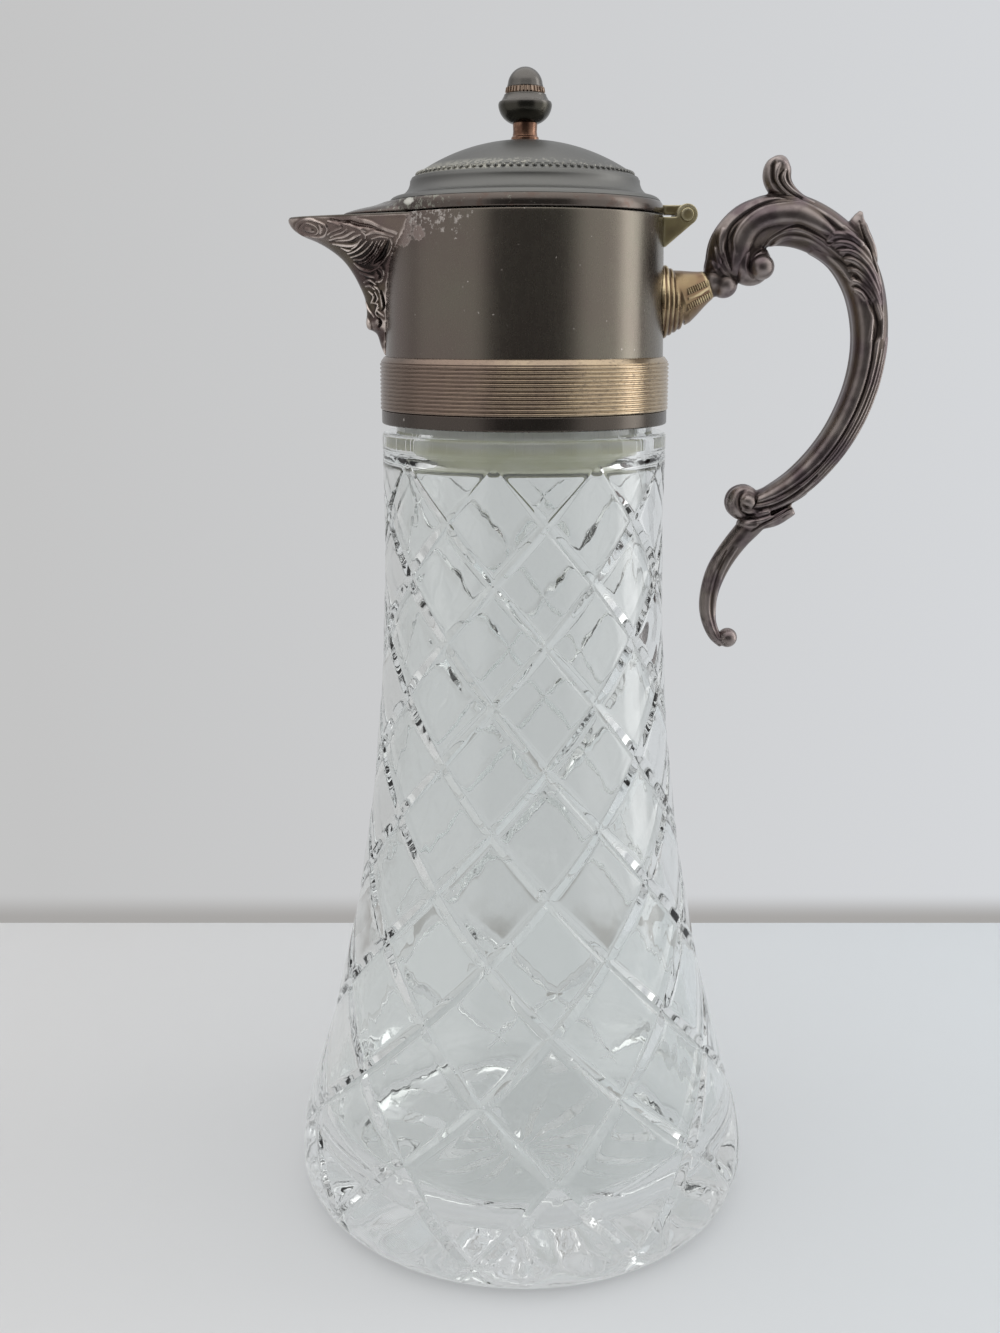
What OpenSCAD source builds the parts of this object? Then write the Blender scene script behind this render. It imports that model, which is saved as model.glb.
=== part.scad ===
// Claret jug: a pressed glass body in a plated collar, with a cast spout, a hinged lid
// and a scroll handle. Millimetres, +Z up. The origin is the centre of the foot, on the
// table; the spout points to -X and the handle to +X.

/* [Glass body] */
// Outside radius of the foot where it meets the table
foot_r = 57.3; // [55:0.1:60]
// Widest outside radius, just above the foot
base_r = 63; // [61.5:0.1:65]
// Height of the widest circle
heel_z = 10.5; // [9:0.1:13]
// Outside radius of the straight upper part
waist_r = 36.6; // [36.2:0.1:37.2]
// How much wider the flare would be at the table without its rounded heel
flare_w = 32.5; // [30:0.1:34]
// Height where the flare starts
flare_z = 200; // [180:1:210]
// Thickness of the side wall
wall = 4.5; // [3.5:0.1:5.5]
// Height of the inside floor
floor_z = 9; // [7:0.5:12]
// Height of the shoulder where the plain glass ends under the collar
shoulder_z = 212.3; // [210:0.1:213]
// Outside radius of the neck inside the collar
neck_r = 33; // [32.5:0.1:33.4]
// Radius of the bore through the neck
mouth_r = 29.4; // [28:0.1:30]
// Height of the rim of the neck
rim_z = 226; // [222:0.5:228]

/* [Cut pattern] */
// Diamonds round the glass
diamonds = 9; // [7:1:11]
// Depth of the V cuts on the straight upper part
cut_depth = 1.1; // [0.6:0.1:1.6]
// Half width of a V cut as a share of the distance between two parallel cuts
cut_share = 0.085; // [0.06:0.005:0.12]
// Rays of the star under the base
star_rays = 16; // [12:1:24]

/* [Collar] */
// Outside radius of the collar at its foot
collar_r = 35.35; // [35.2:0.05:35.5]
// Outside radius of the collar at its rim
collar_top_r = 34.65; // [34.5:0.05:34.8]
// Thickness of the collar wall
sheet = 0.9; // [0.8:0.05:0.95]
// Height of the collar's lower edge
collar_z = 214.4; // [213.5:0.1:214.6]
// Height of the collar's rim
collar_top_z = 265.2; // [264:0.1:265.2]
// Height of the top edge of the reeded band
band_top_z = 231.2; // [229:0.1:232]
// Outside radius over the reeds
band_r = 36.9; // [36.6:0.1:37.2]
// Reeds round the band
reeds = 12; // [8:1:14]

/* [Lid] */
// Height of the lid's underside when closed
lid_z = 265.5; // [265.4:0.1:265.7]
// Radius of curvature of the dome
dome_curve = 48; // [46:1:52]
// Height of the top of the dome
dome_top_z = 283.5; // [283.3:0.1:284]
// Height of the tip of the finial, and of the whole jug
top_z = 300.6; // [299:0.1:302]

/* [Hinge] */
// Distance of the hinge pin from the jug's axis
hinge_x = 40; // [39.5:0.1:40.5]
// Radius of the knuckles
knuckle_r = 2.6; // [2.4:0.1:2.7]
// Radius of the hinge pin
pin_r = 1.6; // [1.4:0.1:1.7]
// Length of the whole barrel
barrel_l = 13; // [11:0.5:15]
// Radial clearance of the lid's knuckle on the pin
pin_play = 0.05; // [0.02:0.01:0.08]

/* [Handle] */
// Height of the centre of the boss on the collar
boss_z = 244.6; // [244:0.1:245]
// Radius of the boss at the collar
boss_r = 9.2; // [8.5:0.1:9.4]

/* [Hidden] */
$fn = 72;

gap = 0.3;                 // free space between faces that move past each other
far = 60;                  // longer than anything that it cuts

// Glass
heel_blend = 13;           // height over which the flare turns into the heel
flare_power = 2.3;
first_row_z = 11;          // rows of crossings: height of the lowest one
row_rise = 18.61;          // rise from a row to the next at the foot
row_shrink = 0.1948;       // how fast the rows close up with height
rows = 12;
turn = -102.2;             // heading of one crossing of the lowest row, in degrees
lines = 5;                 // mesh lines to each diamond, both ways
line_at = [0, cut_share, 0.36, 0.64, 1 - cut_share];
cut_end = 2.6;             // height over which the top row of cuts runs out
edge = 0.8;                // rounding of the shoulder
inner_fillet = 12;
neck_blend_z = 196;        // inside, the wall starts to close in to the neck bore here
skirt_z = 205;             // lower edge of the gasket's inner skirt

// Collar and band
lip_r = 36.6;
lip_z = 217.9;
seat_r = 31.6;             // inner edge of the turned-in rim
reed_top_z = 229.7;

// Spout: [height, reach of the bow, half width at the collar]
spout_z = band_top_z + 0.1;
bow_points = 9;
spout_levels = [
    [spout_z, 35.7, 0.8], [233.5, 36.6, 3.2], [236.6, 37.6, 5], [237.9, 39.5, 5.8], [239.3, 40.4, 6.3],
    [241.5, 40.1, 6.6], [245, 40.4, 7.4], [248.5, 41.8, 8.8], [251.5, 43.4, 10.6], [254.5, 45.6, 13],
    [257, 48.6, 16], [259, 52, 18.6], [260.5, 55.6, 20.2], [262.2, 58.2, 21], [264.2, 59.4, 21.5],
    [collar_top_z, 58.9, 21.5]
];
channel = [
    [245.5, 37, 3.5], [248.5, 38.6, 6], [252, 40.9, 9], [255.2, 43.8, 11.8], [258, 47.6, 14.6],
    [260.2, 51.8, 16.8], [262.4, 55.4, 18.4], [264.2, 56.8, 19.2], [collar_top_z + 1.3, 56.8, 19.3]
];

// Lid
ring_in_r = 31;
ring_top_z = 268.6;
lid_r = 34.7;
rim_side = [[lid_r - 0.1, lid_z], [lid_r, lid_z + 0.3], [lid_r, 266.8], [34.45, 267.8], [33.86, ring_top_z]];
tongue = [
    [lid_z, 45.4, 19], [266, 45.2, 18.8], [266.9, 42.2, 17.2], [267.7, 38.2, 15], [ring_top_z, 35.4, 12.5]
];
step_r = 28.3;             // the dome's short upright edge
stem_r = 3.05;
knob_z = 287.5;
stud_r = 1.5;
stud_top_z = 294;
nut_z = 278.9;
nut_h = 2.4;
washer_h = 1;

// Hinge
mid_knuckle = barrel_l / 3;

// Handle
joint_tilt = 22;           // slope of the handle's root in the boss, in degrees
root = [46.5, 248.8];      // where the handle leaves the boss
root_r = 3.6;
spigot_r = 2.2;            // the handle's spigot sits in the boss
spigot_l = 3.5;
screw_r = 1.9;
screw_seat_x = 32.8;       // underside of the screw's head
screw_end_x = 41.5;
// Centre lines of the handle's bars: [x, z, half thickness, half depth]
arm = [
    [45, 248.2, 3.4, 3.4], [47.6, 249.4, 3.6, 3.6], [50.3, 253, 4.7, 4.4], [52.9, 258.8, 5.7, 4.9],
    [58.4, 263.6, 6.3, 5.2], [66, 264.6, 6.6, 5.4], [73.6, 262.2, 6.2, 5.4], [80.6, 257.2, 5.6, 5.4],
    [85.4, 249.8, 5.2, 5.2], [87.8, 241, 4.8, 5], [88.2, 232, 4.5, 4.8], [86.6, 222.6, 4.4, 4.6],
    [83, 213.4, 4.3, 4.5], [78, 205.6, 4.1, 4.4], [71.6, 198.9, 3.9, 4.3], [65, 194.8, 3.6, 4.2],
    [59.5, 193.2, 3, 4]
];
volute_band = [
    [55.6, 261.5, 2.4, 4.9], [53.2, 256.4, 2.2, 4.8], [53.6, 252, 2, 4.6], [56.4, 249.9, 1.8, 4.4],
    [59.8, 249.6, 1.5, 4.2], [62.4, 251.4, 1.2, 3.8]
];
curl = [
    [79, 264, 2.2, 2.6], [73, 268.2, 2.4, 3.2], [67.4, 270.6, 3, 3.6], [63.4, 273.2, 3.4, 3.8],
    [62.4, 276.4, 2.9, 3.6], [64.2, 278.4, 1.5, 3], [65.8, 277.4, 0.8, 2.2]
];
leaf = [[88.5, 252, 1.8, 3], [86.4, 259, 1.9, 3], [84.8, 264, 1.3, 2.2], [84.3, 267, 0.4, 0.8]];
tail = [
    [64, 191.6, 2.6, 3.6], [60.2, 188, 3.2, 3.4], [56.8, 184.2, 3, 3.1], [53.6, 179.8, 2.9, 2.9],
    [51.2, 175.4, 2.85, 2.8], [49.7, 170.8, 2.6, 2.6], [49.1, 166.2, 2.35, 2.4], [49.6, 162, 2, 2.2],
    [51.2, 158.2, 1.7, 2], [53.6, 155.9, 1.5, 1.9]
];
spur = [[60.5, 187.8, 1.6, 2.4], [65.5, 189.4, 2.4, 2.8], [70, 190.8, 1.6, 2.2], [72, 191.2, 0.7, 1.2]];

function lerp(a, b, t) = a + (b - a) * t;
function smooth(t) = t * t * (3 - 2 * t);
function wrap(i, n) = i - n * floor(i / n);
function arc(cx, cy, r, a0, a1, n) =
    [for (i = [0:n]) let (a = lerp(a0, a1, i / n)) [cx + r * cos(a), cy + r * sin(a)]];

// A smooth curve through hand-set stations, read at s stations from the first.
function along(p, s) =
    let (n = len(p) - 1, i = min(floor(s), n - 1), t = s - i,
         a = p[max(i - 1, 0)], b = p[i], c = p[i + 1], d = p[min(i + 2, n)])
    0.5 * (2 * b + (c - a) * t + (2 * a - 5 * b + 4 * c - d) * t * t + (3 * b - a - 3 * c + d) * t * t * t);

// A closed solid over rings of points, each ring anticlockwise seen from the last one.
module loft(rings) {
    n = len(rings[0]);
    last = len(rings) - 1;
    polyhedron(
        points = [for (ring = rings) each ring],
        faces = concat(
            [[for (j = [0:n - 1]) j]],
            [for (i = [0:last - 1], j = [0:n - 1]) let (k = (j + 1) % n) each [
                [i * n + j, (i + 1) * n + j, (i + 1) * n + k],
                [i * n + j, (i + 1) * n + k, i * n + k]
            ]],
            [[for (j = [n - 1:-1:0]) last * n + j]]
        )
    );
}

// ---- glass ----

function flare(z) = waist_r + flare_w * pow(max(0, 1 - z / flare_z), flare_power);
heel_in = base_r - foot_r;
heel_arc = (heel_in * heel_in + heel_z * heel_z) / (2 * heel_in);
function wall_r(z) =
    z < heel_z
    ? base_r - heel_arc + sqrt(heel_arc * heel_arc - (heel_z - z) * (heel_z - z))
    : flare(z) - (flare(heel_z) - base_r) * pow(max(0, 1 - (z - heel_z) / heel_blend), 2);
function row_z(s) = first_row_z + row_rise * s - row_shrink * s * s;

// The cuts run along two families of lines, u and v. Mesh line i of a family lies here.
function line_pos(i) = floor(i / lines) + line_at[wrap(i, lines)];
function is_cut(i) = wrap(i, lines) == 0;
function heading(side) = turn + side * 180 / diamonds;
function polar(r, dir, z) = [r * cos(dir), r * sin(dir), z];
// Level q of the lattice holds the points where line a of u meets line q - a of v.
function lattice_level(q) =
    [for (a = [0:diamonds * lines - 1])
        let (u = line_pos(a), v = line_pos(q - a), z = row_z(u + v),
             cut = is_cut(a) || is_cut(q - a) ? cut_depth / waist_r : 0)
        polar(wall_r(z) * (1 - cut), heading(u - v), z)];
// A plain ring whose points lie below or above those of the lattice's edge row.
function plain_ring(z, r, row) =
    [for (a = [0:diamonds * lines - 1]) polar(r, heading(2 * line_pos(a) - row), z)];

// The outside of the glass: a net of V cuts between a plain heel and a plain neck zone.
module cut_glass() {
    n = diamonds * lines;
    levels = rows * lines;
    low = [for (z = [0, 1.2, 3.6, 7]) plain_ring(z, wall_r(z), 0)];
    high = [
        plain_ring(row_z(rows) + cut_end, waist_r, rows),
        plain_ring(shoulder_z - edge, waist_r, rows),
        plain_ring(shoulder_z, waist_r - edge, rows)
    ];
    rings = concat(low, [for (q = [0:levels]) lattice_level(q)], high);
    first = len(low);
    last = len(rings) - 1;
    function p(i, a) = i * n + wrap(a, n);
    // At a crossing, the crease between two cuts runs up through the four-sided patch.
    function creased(i, a) =
        let (b = i - first - a)
        i >= first && i < first + levels - 1
        && ((is_cut(a) && is_cut(b)) || (is_cut(a + 1) && is_cut(b + 1)));
    sides = [for (i = [0:last - 1], a = [0:n - 1]) each [
        if (!creased(i, a)) [p(i, a), p(i + 1, a), p(i + 1, a + 1)],
        if (!creased(i - 1, a)) [p(i, a), p(i + 1, a + 1), p(i, a + 1)],
        if (creased(i, a)) [p(i, a), p(i + 1, a), p(i + 2, a + 1)],
        if (creased(i, a)) [p(i, a), p(i + 2, a + 1), p(i + 1, a + 1)]
    ]];
    polyhedron(
        points = [for (ring = rings) each ring],
        faces = concat([[for (a = [0:n - 1]) a]], sides, [[for (a = [n - 1:-1:0]) last * n + a]])
    );
}

// The space inside the glass, from its floor to above the rim.
module glass_hollow() {
    turn_z = floor_z + inner_fillet;
    turn_r = wall_r(turn_z) - wall - inner_fillet;
    walls = 20;
    closing = 6;
    top_r = wall_r(neck_blend_z) - wall;
    rotate_extrude() polygon(concat(
        [[0, floor_z]],
        arc(turn_r, turn_z, inner_fillet, -90, 0, 8),
        [for (i = [1:walls]) let (z = lerp(turn_z, neck_blend_z, i / walls)) [wall_r(z) - wall, z]],
        [for (i = [1:closing]) let (t = i / closing)
            [lerp(top_r, mouth_r, smooth(t)), lerp(neck_blend_z, skirt_z, t)]],
        [[mouth_r, rim_z + 1], [0, rim_z + 1]]
    ));
}

module glass_body() {
    ray_in = 8;
    ray_out = 49;
    ray_w = 3.2;
    dish_z = 1.8;
    color([0.86, 0.93, 0.92, 0.5])
    difference() {
        union() {
            cut_glass();
            translate([0, 0, skirt_z]) cylinder(r = neck_r, h = rim_z - skirt_z);
        }
        glass_hollow();
        // the dished underside leaves a ring to stand on, and a star is cut into it
        rotate_extrude() polygon([[0, -1], [foot_r - 4, -1], [foot_r - 4, 0], [foot_r - 7, dish_z], [0, dish_z]]);
        for (i = [0:star_rays - 1]) rotate([0, 0, i * 360 / star_rays]) translate([ray_in, 0, 0]) rotate([90, 0, 90])
            linear_extrude(ray_out - ray_in)
            polygon([[-ray_w / 2, dish_z - 0.3], [ray_w / 2, dish_z - 0.3], [0, dish_z + 1.4]]);
    }
}

// The plastic ring that seals the collar to the neck: a sleeve outside, a skirt inside.
module neck_gasket() {
    skin = 1.1;
    sleeve_z = collar_z + 0.4;
    sleeve_r = collar_r - sheet;
    color([0.66, 0.66, 0.42])
    rotate_extrude() polygon([
        [mouth_r - skin, skirt_z], [mouth_r, skirt_z], [mouth_r, rim_z], [neck_r, rim_z],
        [neck_r, sleeve_z], [sleeve_r, sleeve_z], [sleeve_r, rim_z + skin], [mouth_r - skin, rim_z + skin]
    ]);
}

// ---- mount ----

// The collar above the band as a filled solid that runs past its rim; other pieces are
// fitted against it.
module collar_outside() {
    past = 1;
    h = collar_top_z - band_top_z;
    taper = (collar_r - collar_top_r) / h;
    translate([0, 0, band_top_z]) cylinder(r1 = collar_r, r2 = collar_top_r - taper * past, h = h + past);
}

// Outline of the spout at one height: round the bow from one side of the root to the other.
// beak is 0 for a round bow and 1 for a drawn-out one.
function bow(z, tip, half, root, beak) =
    [for (i = [0:2 * bow_points]) let (s = 1 - i / bow_points, a = abs(s))
        [-tip + (tip - root) * pow(a, lerp(2, 1.6, beak)),
         sign(s) * half * lerp(a, a * a * a, 0.2 * beak), z]];
function beak_at(z) = max(0, min(1, (z - spout_z - 8) / 20));

module spout_channel() {
    loft([for (c = channel) bow(c[0], c[1], c[2], seat_r - 6, beak_at(c[0]))]);
}

module spout() {
    color([0.40, 0.33, 0.32])
    difference() {
        loft([for (c = spout_levels)
            bow(c[0], c[1], c[2], sqrt(collar_top_r * collar_top_r - c[2] * c[2]) - 1.2, beak_at(c[0]))]);
        collar_outside();
        spout_channel();
    }
}

module collar_shell() {
    in_r = collar_r - sheet;
    top_in_r = collar_top_r - sheet;
    color([0.37, 0.34, 0.31])
    difference() {
        rotate_extrude() polygon([
            [in_r, collar_z], [lip_r - 0.3, collar_z], [lip_r, collar_z + 0.3], [lip_r, lip_z - 0.3],
            [lip_r - 0.3, lip_z], [collar_r, lip_z], [collar_r, band_top_z], [collar_top_r, collar_top_z],
            [seat_r, collar_top_z], [seat_r, collar_top_z - sheet], [top_in_r - 0.6, collar_top_z - sheet - 0.2],
            [top_in_r, collar_top_z - 2.6], [in_r, band_top_z]
        ]);
        spout_channel();
        translate([0, 0, boss_z]) rotate([0, 90, 0]) cylinder(r = screw_r, h = far);
    }
}

module reeded_band() {
    pitch = (reed_top_z - lip_z) / reeds;
    reed = pitch / 2;
    color([0.62, 0.51, 0.36])
    rotate_extrude() polygon(concat(
        [[collar_r, lip_z]],
        [for (i = [0:reeds - 1]) each arc(band_r - reed, lip_z + pitch * (i + 0.5), reed, -80, 80, 4)],
        [[band_r - 0.3, reed_top_z + 0.1], [collar_r + 0.45, band_top_z - 0.1], [collar_r, band_top_z]]
    ));
}

// ---- hinge ----

// A round bar or bore along the hinge line, centred on the jug's middle plane.
module hinge_bar(r, l) {
    translate([hinge_x, l / 2, lid_z]) rotate([90, 0, 0]) cylinder(r = r, h = l);
}
// A flat plate of the given outline in X and Z, centred on the same plane.
module hinge_plate(outline, w) {
    translate([0, w / 2, 0]) rotate([90, 0, 0]) linear_extrude(w) polygon(outline);
}

module hinge_collar_leaf() {
    web_z = 257.8;
    color([0.59, 0.55, 0.35])
    difference() {
        union() {
            hinge_bar(knuckle_r, barrel_l);
            hinge_plate([
                [collar_top_r - 2, web_z], [collar_top_r + 0.2, web_z], [hinge_x + 1.6, lid_z - 2],
                [hinge_x - 1, lid_z - 0.6], [collar_top_r - 2, lid_z - 0.6]
            ], barrel_l);
        }
        collar_outside();
        hinge_bar(knuckle_r + gap, mid_knuckle + 2 * gap);
        hinge_bar(pin_r, far);
    }
}

module hinge_pin() {
    color([0.55, 0.50, 0.33])
    hinge_bar(pin_r, barrel_l + 1);
}

module hinge_lid_leaf() {
    top = lid_z + knuckle_r - 0.1;
    color([0.59, 0.55, 0.35])
    difference() {
        union() {
            hinge_bar(knuckle_r, mid_knuckle);
            hinge_plate([
                [lid_r - 2, lid_z + gap], [hinge_x, lid_z + gap], [hinge_x, top], [lid_r - 0.6, top], [lid_r - 2, top]
            ], mid_knuckle);
        }
        rotate_extrude() polygon(concat([[0, lid_z - 1]], rim_side, [[0, ring_top_z]]));
        hinge_bar(pin_r + pin_play, far);
    }
}

// ---- lid ----

// The flange of the lid, with the tongue that covers the spout.
module lid_rim() {
    color([0.36, 0.33, 0.30])
    difference() {
        union() {
            rotate_extrude() polygon(concat([[ring_in_r, lid_z]], rim_side, [[ring_in_r, ring_top_z]]));
            loft([for (c = tongue) bow(c[0], c[1], c[2], sqrt(lid_r * lid_r - c[2] * c[2]) - 1.4, 0.2)]);
        }
        translate([0, 0, lid_z - 1]) cylinder(r = ring_in_r, h = ring_top_z - lid_z + 2);
    }
}

module lid_dome() {
    skin = 0.9;
    centre_z = dome_top_z - dome_curve;
    cove = [32.4, 273.6];
    cove_r = 3.8;
    foot = arc(31.9, 267.6, 2.2, 27, 86, 4);
    edge_r = step_r - 1.1;
    inner = dome_curve - skin;
    color([0.46, 0.47, 0.45])
    rotate_extrude() polygon(concat(
        [[ring_in_r, ring_top_z]],
        [[foot[0][0], ring_top_z]],
        foot,
        arc(cove[0], cove[1], cove_r, -95, -180, 6),
        [[step_r, cove[1] + 0.2], [step_r, cove[1] + 0.5], [step_r - 0.4, cove[1] + 1.05]],
        arc(0, centre_z, dome_curve, acos(edge_r / dome_curve), acos(stud_r / dome_curve), 10),
        arc(0, centre_z, inner, acos(stud_r / inner), acos((edge_r - 0.6) / inner), 10),
        arc(cove[0], cove[1], cove_r + skin, -180, -100, 6)
    ));
}

module finial_stem() {
    color([0.62, 0.40, 0.27])
    difference() {
        rotate_extrude() polygon([
            [stud_r, dome_top_z - 0.4], [stem_r + 0.3, dome_top_z - 0.4], [stem_r + 0.3, dome_top_z + 0.4],
            [stem_r, dome_top_z + 0.8], [stem_r, knob_z], [stud_r, knob_z]
        ]);
        translate([0, 0, dome_top_z - dome_curve]) sphere(r = dome_curve);
    }
}

// The acorn: a bowl below, a hollow waist with a row of beads, and a blunt cap.
module finial_knob() {
    cap_z = 296;
    cap_r = 4.35;
    color([0.42, 0.42, 0.40])
    rotate_extrude() polygon(concat(
        [[stud_r, knob_z]],
        arc(1.75, 292, 4.9, -66.5, -4, 8),
        [[6.2, 292.2], [5.6, 293.1], [5.0, 294.3], [4.85, 294.5], [4.5, 295.7]],
        [for (i = [0:6]) let (a = 10 + 80 * i / 6) [cap_r * cos(a), cap_z + (top_z - cap_z) * sin(a)]],
        [[0, stud_top_z], [stud_r, stud_top_z]]
    ));
}

module finial_stud() {
    color([0.60, 0.50, 0.32])
    translate([0, 0, nut_z - 0.8]) cylinder(r = stud_r, h = stud_top_z - nut_z + 0.8);
}

module finial_washer() {
    color([0.66, 0.62, 0.52])
    difference() {
        translate([0, 0, nut_z + nut_h]) cylinder(r = 4, h = washer_h);
        cylinder(r = stud_r, h = top_z);
    }
}

module finial_nut() {
    across_corners = 6.2;
    color([0.66, 0.56, 0.35])
    difference() {
        translate([0, 0, nut_z]) cylinder(r = across_corners / 2, h = nut_h, $fn = 6);
        cylinder(r = stud_r, h = top_z);
    }
}

// ---- handle ----

// Moves a piece drawn along +Z onto the sloping axis on which the handle meets its boss.
module at_root() {
    translate([root[0], 0, root[1]]) rotate([0, 90 - joint_tilt, 0]) children();
}

module handle_boss() {
    ribs = 4;
    rib = 0.68;
    rib_x = 35.5;
    rib_step = 1.25;
    color([0.67, 0.56, 0.37])
    difference() {
        union() {
            translate([0, 0, boss_z]) rotate([0, 90, 0]) rotate_extrude() polygon(concat(
                [[0, collar_r - 3], [boss_r, collar_r - 3], [boss_r, rib_x - rib]],
                [for (i = [0:ribs - 1]) each
                    arc(lerp(boss_r - 0.8, boss_r - 3, i / (ribs - 1)), rib_x + rib_step * i, rib, -80, 80, 4)],
                [[0, rib_x + rib_step * ribs - rib]]
            ));
            at_root() rotate_extrude() polygon([
                [0, -9], [7.1, -9], [6.9, -7.5], [5.9, -5.2], [4.9, -3.2], [4.1, -1.4], [root_r, 0], [0, 0]
            ]);
        }
        collar_outside();
        translate([0, 0, boss_z]) rotate([0, 90, 0]) cylinder(r = screw_r, h = screw_end_x);
        at_root() translate([0, 0, -spigot_l]) cylinder(r = spigot_r, h = spigot_l + 1);
    }
}

// The screw that holds the boss from inside the collar, with its washer.
module handle_screw() {
    head_h = 1.6;
    color([0.66, 0.56, 0.35])
    translate([screw_seat_x, 0, boss_z]) rotate([0, 90, 0]) union() {
        translate([0, 0, -head_h]) cylinder(r = 3.2, h = head_h);
        cylinder(r = screw_r, h = screw_end_x - screw_seat_x);
    }
}

module handle_washer() {
    color([0.66, 0.62, 0.52])
    translate([screw_seat_x, 0, boss_z]) rotate([0, 90, 0]) difference() {
        cylinder(r = 4.2, h = washer_h);
        cylinder(r = screw_r, h = far);
    }
}

// One cross-section of a bar that lies in the middle plane. The first corner is on the
// inside of its bend; with flutes, the outer half is worked into ridges.
function section(c, dir, sides, flute) =
    [for (j = [0:sides - 1])
        let (a = 360 * j / sides, ridged = cos(a) < 0.1 && j % 2 == 1, k = ridged ? 1 - flute : 1)
        [c[0] + dir[1] * c[2] * k * cos(a), c[3] * k * sin(a), c[1] - dir[0] * c[2] * k * cos(a)]];

// A bar swept along stations of [x, z, half thickness, half depth].
module bar(stations, steps, sides, flute = 0) {
    tick = 0.01;
    n = (len(stations) - 1) * steps;
    loft([for (i = [0:n])
        let (s = i / steps, back = along(stations, max(0, s - tick)), ahead = along(stations, min(n / steps, s + tick)),
             d = [ahead[0] - back[0], ahead[1] - back[1]])
        section(along(stations, s), d / norm(d), sides, flute)]);
}

// A round boss through the bar, crowned on both cheeks, as in the eye of a scroll.
module eye(x, z, r, half) {
    translate([x, 0, z]) rotate([90, 0, 0]) rotate_extrude() polygon(concat(
        [[0, -half]],
        [for (i = [-4:4]) let (a = 80 * i / 4) [r * pow(cos(a), 0.6), half * sin(a) / sin(80) * 0.94]],
        [[0, half]]
    ));
}

module handle() {
    color([0.35, 0.31, 0.30]) {
        difference() {
            union() {
                bar(arm, 4, 20, 0.07);
                translate([50.6, 0, 249.2]) sphere(r = 3.6);
            }
            at_root() translate([-8, -8, -16]) cube([16, 16, 16]);
        }
        at_root() translate([0, 0, -spigot_l + gap]) cylinder(r = spigot_r, h = spigot_l + 1);
        bar(volute_band, 3, 12);
        eye(59.8, 253, 3.1, 5.4);
        bar(curl, 3, 12);
        bar(leaf, 3, 10);
        eye(58.3, 193.3, 5, 4.6);
        bar(tail, 3, 12, 0.05);
        bar(spur, 3, 10);
        translate([54.7, 0, 157]) sphere(r = 2.95);
    }
}

glass_body();
neck_gasket();
collar_shell();
reeded_band();
spout();
hinge_collar_leaf();
hinge_pin();
hinge_lid_leaf();
lid_rim();
lid_dome();
finial_stem();
finial_knob();
finial_stud();
finial_washer();
finial_nut();
handle_boss();
handle_screw();
handle_washer();
handle();
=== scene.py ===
import math

import bpy
import numpy as np
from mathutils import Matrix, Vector
from mathutils.bvhtree import BVHTree


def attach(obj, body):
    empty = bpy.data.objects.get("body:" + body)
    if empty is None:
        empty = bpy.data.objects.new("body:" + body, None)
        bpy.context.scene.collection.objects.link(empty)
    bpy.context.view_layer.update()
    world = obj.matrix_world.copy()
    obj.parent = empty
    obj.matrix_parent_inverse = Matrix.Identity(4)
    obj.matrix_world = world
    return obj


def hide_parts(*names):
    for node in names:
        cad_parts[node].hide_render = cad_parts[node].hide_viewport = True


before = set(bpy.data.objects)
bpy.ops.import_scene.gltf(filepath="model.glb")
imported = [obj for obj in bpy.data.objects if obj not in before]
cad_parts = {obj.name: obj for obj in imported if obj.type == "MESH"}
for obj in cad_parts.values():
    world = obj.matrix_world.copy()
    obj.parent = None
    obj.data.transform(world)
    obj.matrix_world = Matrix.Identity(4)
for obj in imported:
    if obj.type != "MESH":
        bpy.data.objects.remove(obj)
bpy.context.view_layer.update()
mm = 0.001  # sizes below are in millimetres, Blender's are in metres


# Tools for making meshes

def deselectAll():
    bpy.ops.object.select_all(action="DESELECT")


def only(piece):
    deselectAll()
    piece.select_set(True)
    bpy.context.view_layer.objects.active = piece
    return piece


def newMesh(name, points, faces=(), edges=()):
    mesh = bpy.data.meshes.new(name)
    mesh.from_pydata([[c * mm for c in p] for p in points], edges, faces)
    piece = bpy.data.objects.new(name, mesh)
    bpy.context.scene.collection.objects.link(piece)
    return only(piece)


def editAll(piece, *steps):  # runs edit-mode operators on the whole mesh
    only(piece)
    bpy.ops.object.mode_set(mode="EDIT")
    bpy.ops.mesh.select_all(action="SELECT")
    for step in steps:
        step()
    bpy.ops.object.mode_set(mode="OBJECT")
    return piece


def facesOut():
    bpy.ops.mesh.remove_doubles(threshold=0.0005 * mm)
    bpy.ops.mesh.normals_make_consistent(inside=False)


def applied(piece, kind, **settings):  # adds a modifier and applies it at once
    only(piece)
    modifier = piece.modifiers.new(kind.title(), kind)
    for key, value in settings.items():
        setattr(modifier, key, value)
    bpy.ops.object.modifier_apply(modifier=modifier.name)
    return piece


def joined(name, parts):
    only(parts[0])
    for part in parts:
        part.select_set(True)
    if len(parts) > 1:
        bpy.ops.object.join()
    piece = bpy.context.view_layer.objects.active
    piece.name = piece.data.name = name
    return piece


def cut(piece, tool):
    applied(piece, "BOOLEAN", operation="DIFFERENCE", solver="EXACT", object=tool)
    bpy.data.objects.remove(tool)
    return piece


def lerp(a, b, t):
    return a + (b - a) * t


def smoothLine(points, steps):  # a curve through hand-set points, with any number of values each
    last = len(points) - 1
    line = []
    for i in range(last):
        a, b, c, d = (np.array(points[min(max(k, 0), last)], float) for k in (i - 1, i, i + 1, i + 2))
        for k in range(steps):
            t = k / steps
            line.append(0.5 * (2 * b + (c - a) * t + (2 * a - 5 * b + 4 * c - d) * t ** 2
                               + (3 * b - a - 3 * c + d) * t ** 3))
    return line + [np.array(points[last], float)]


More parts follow.
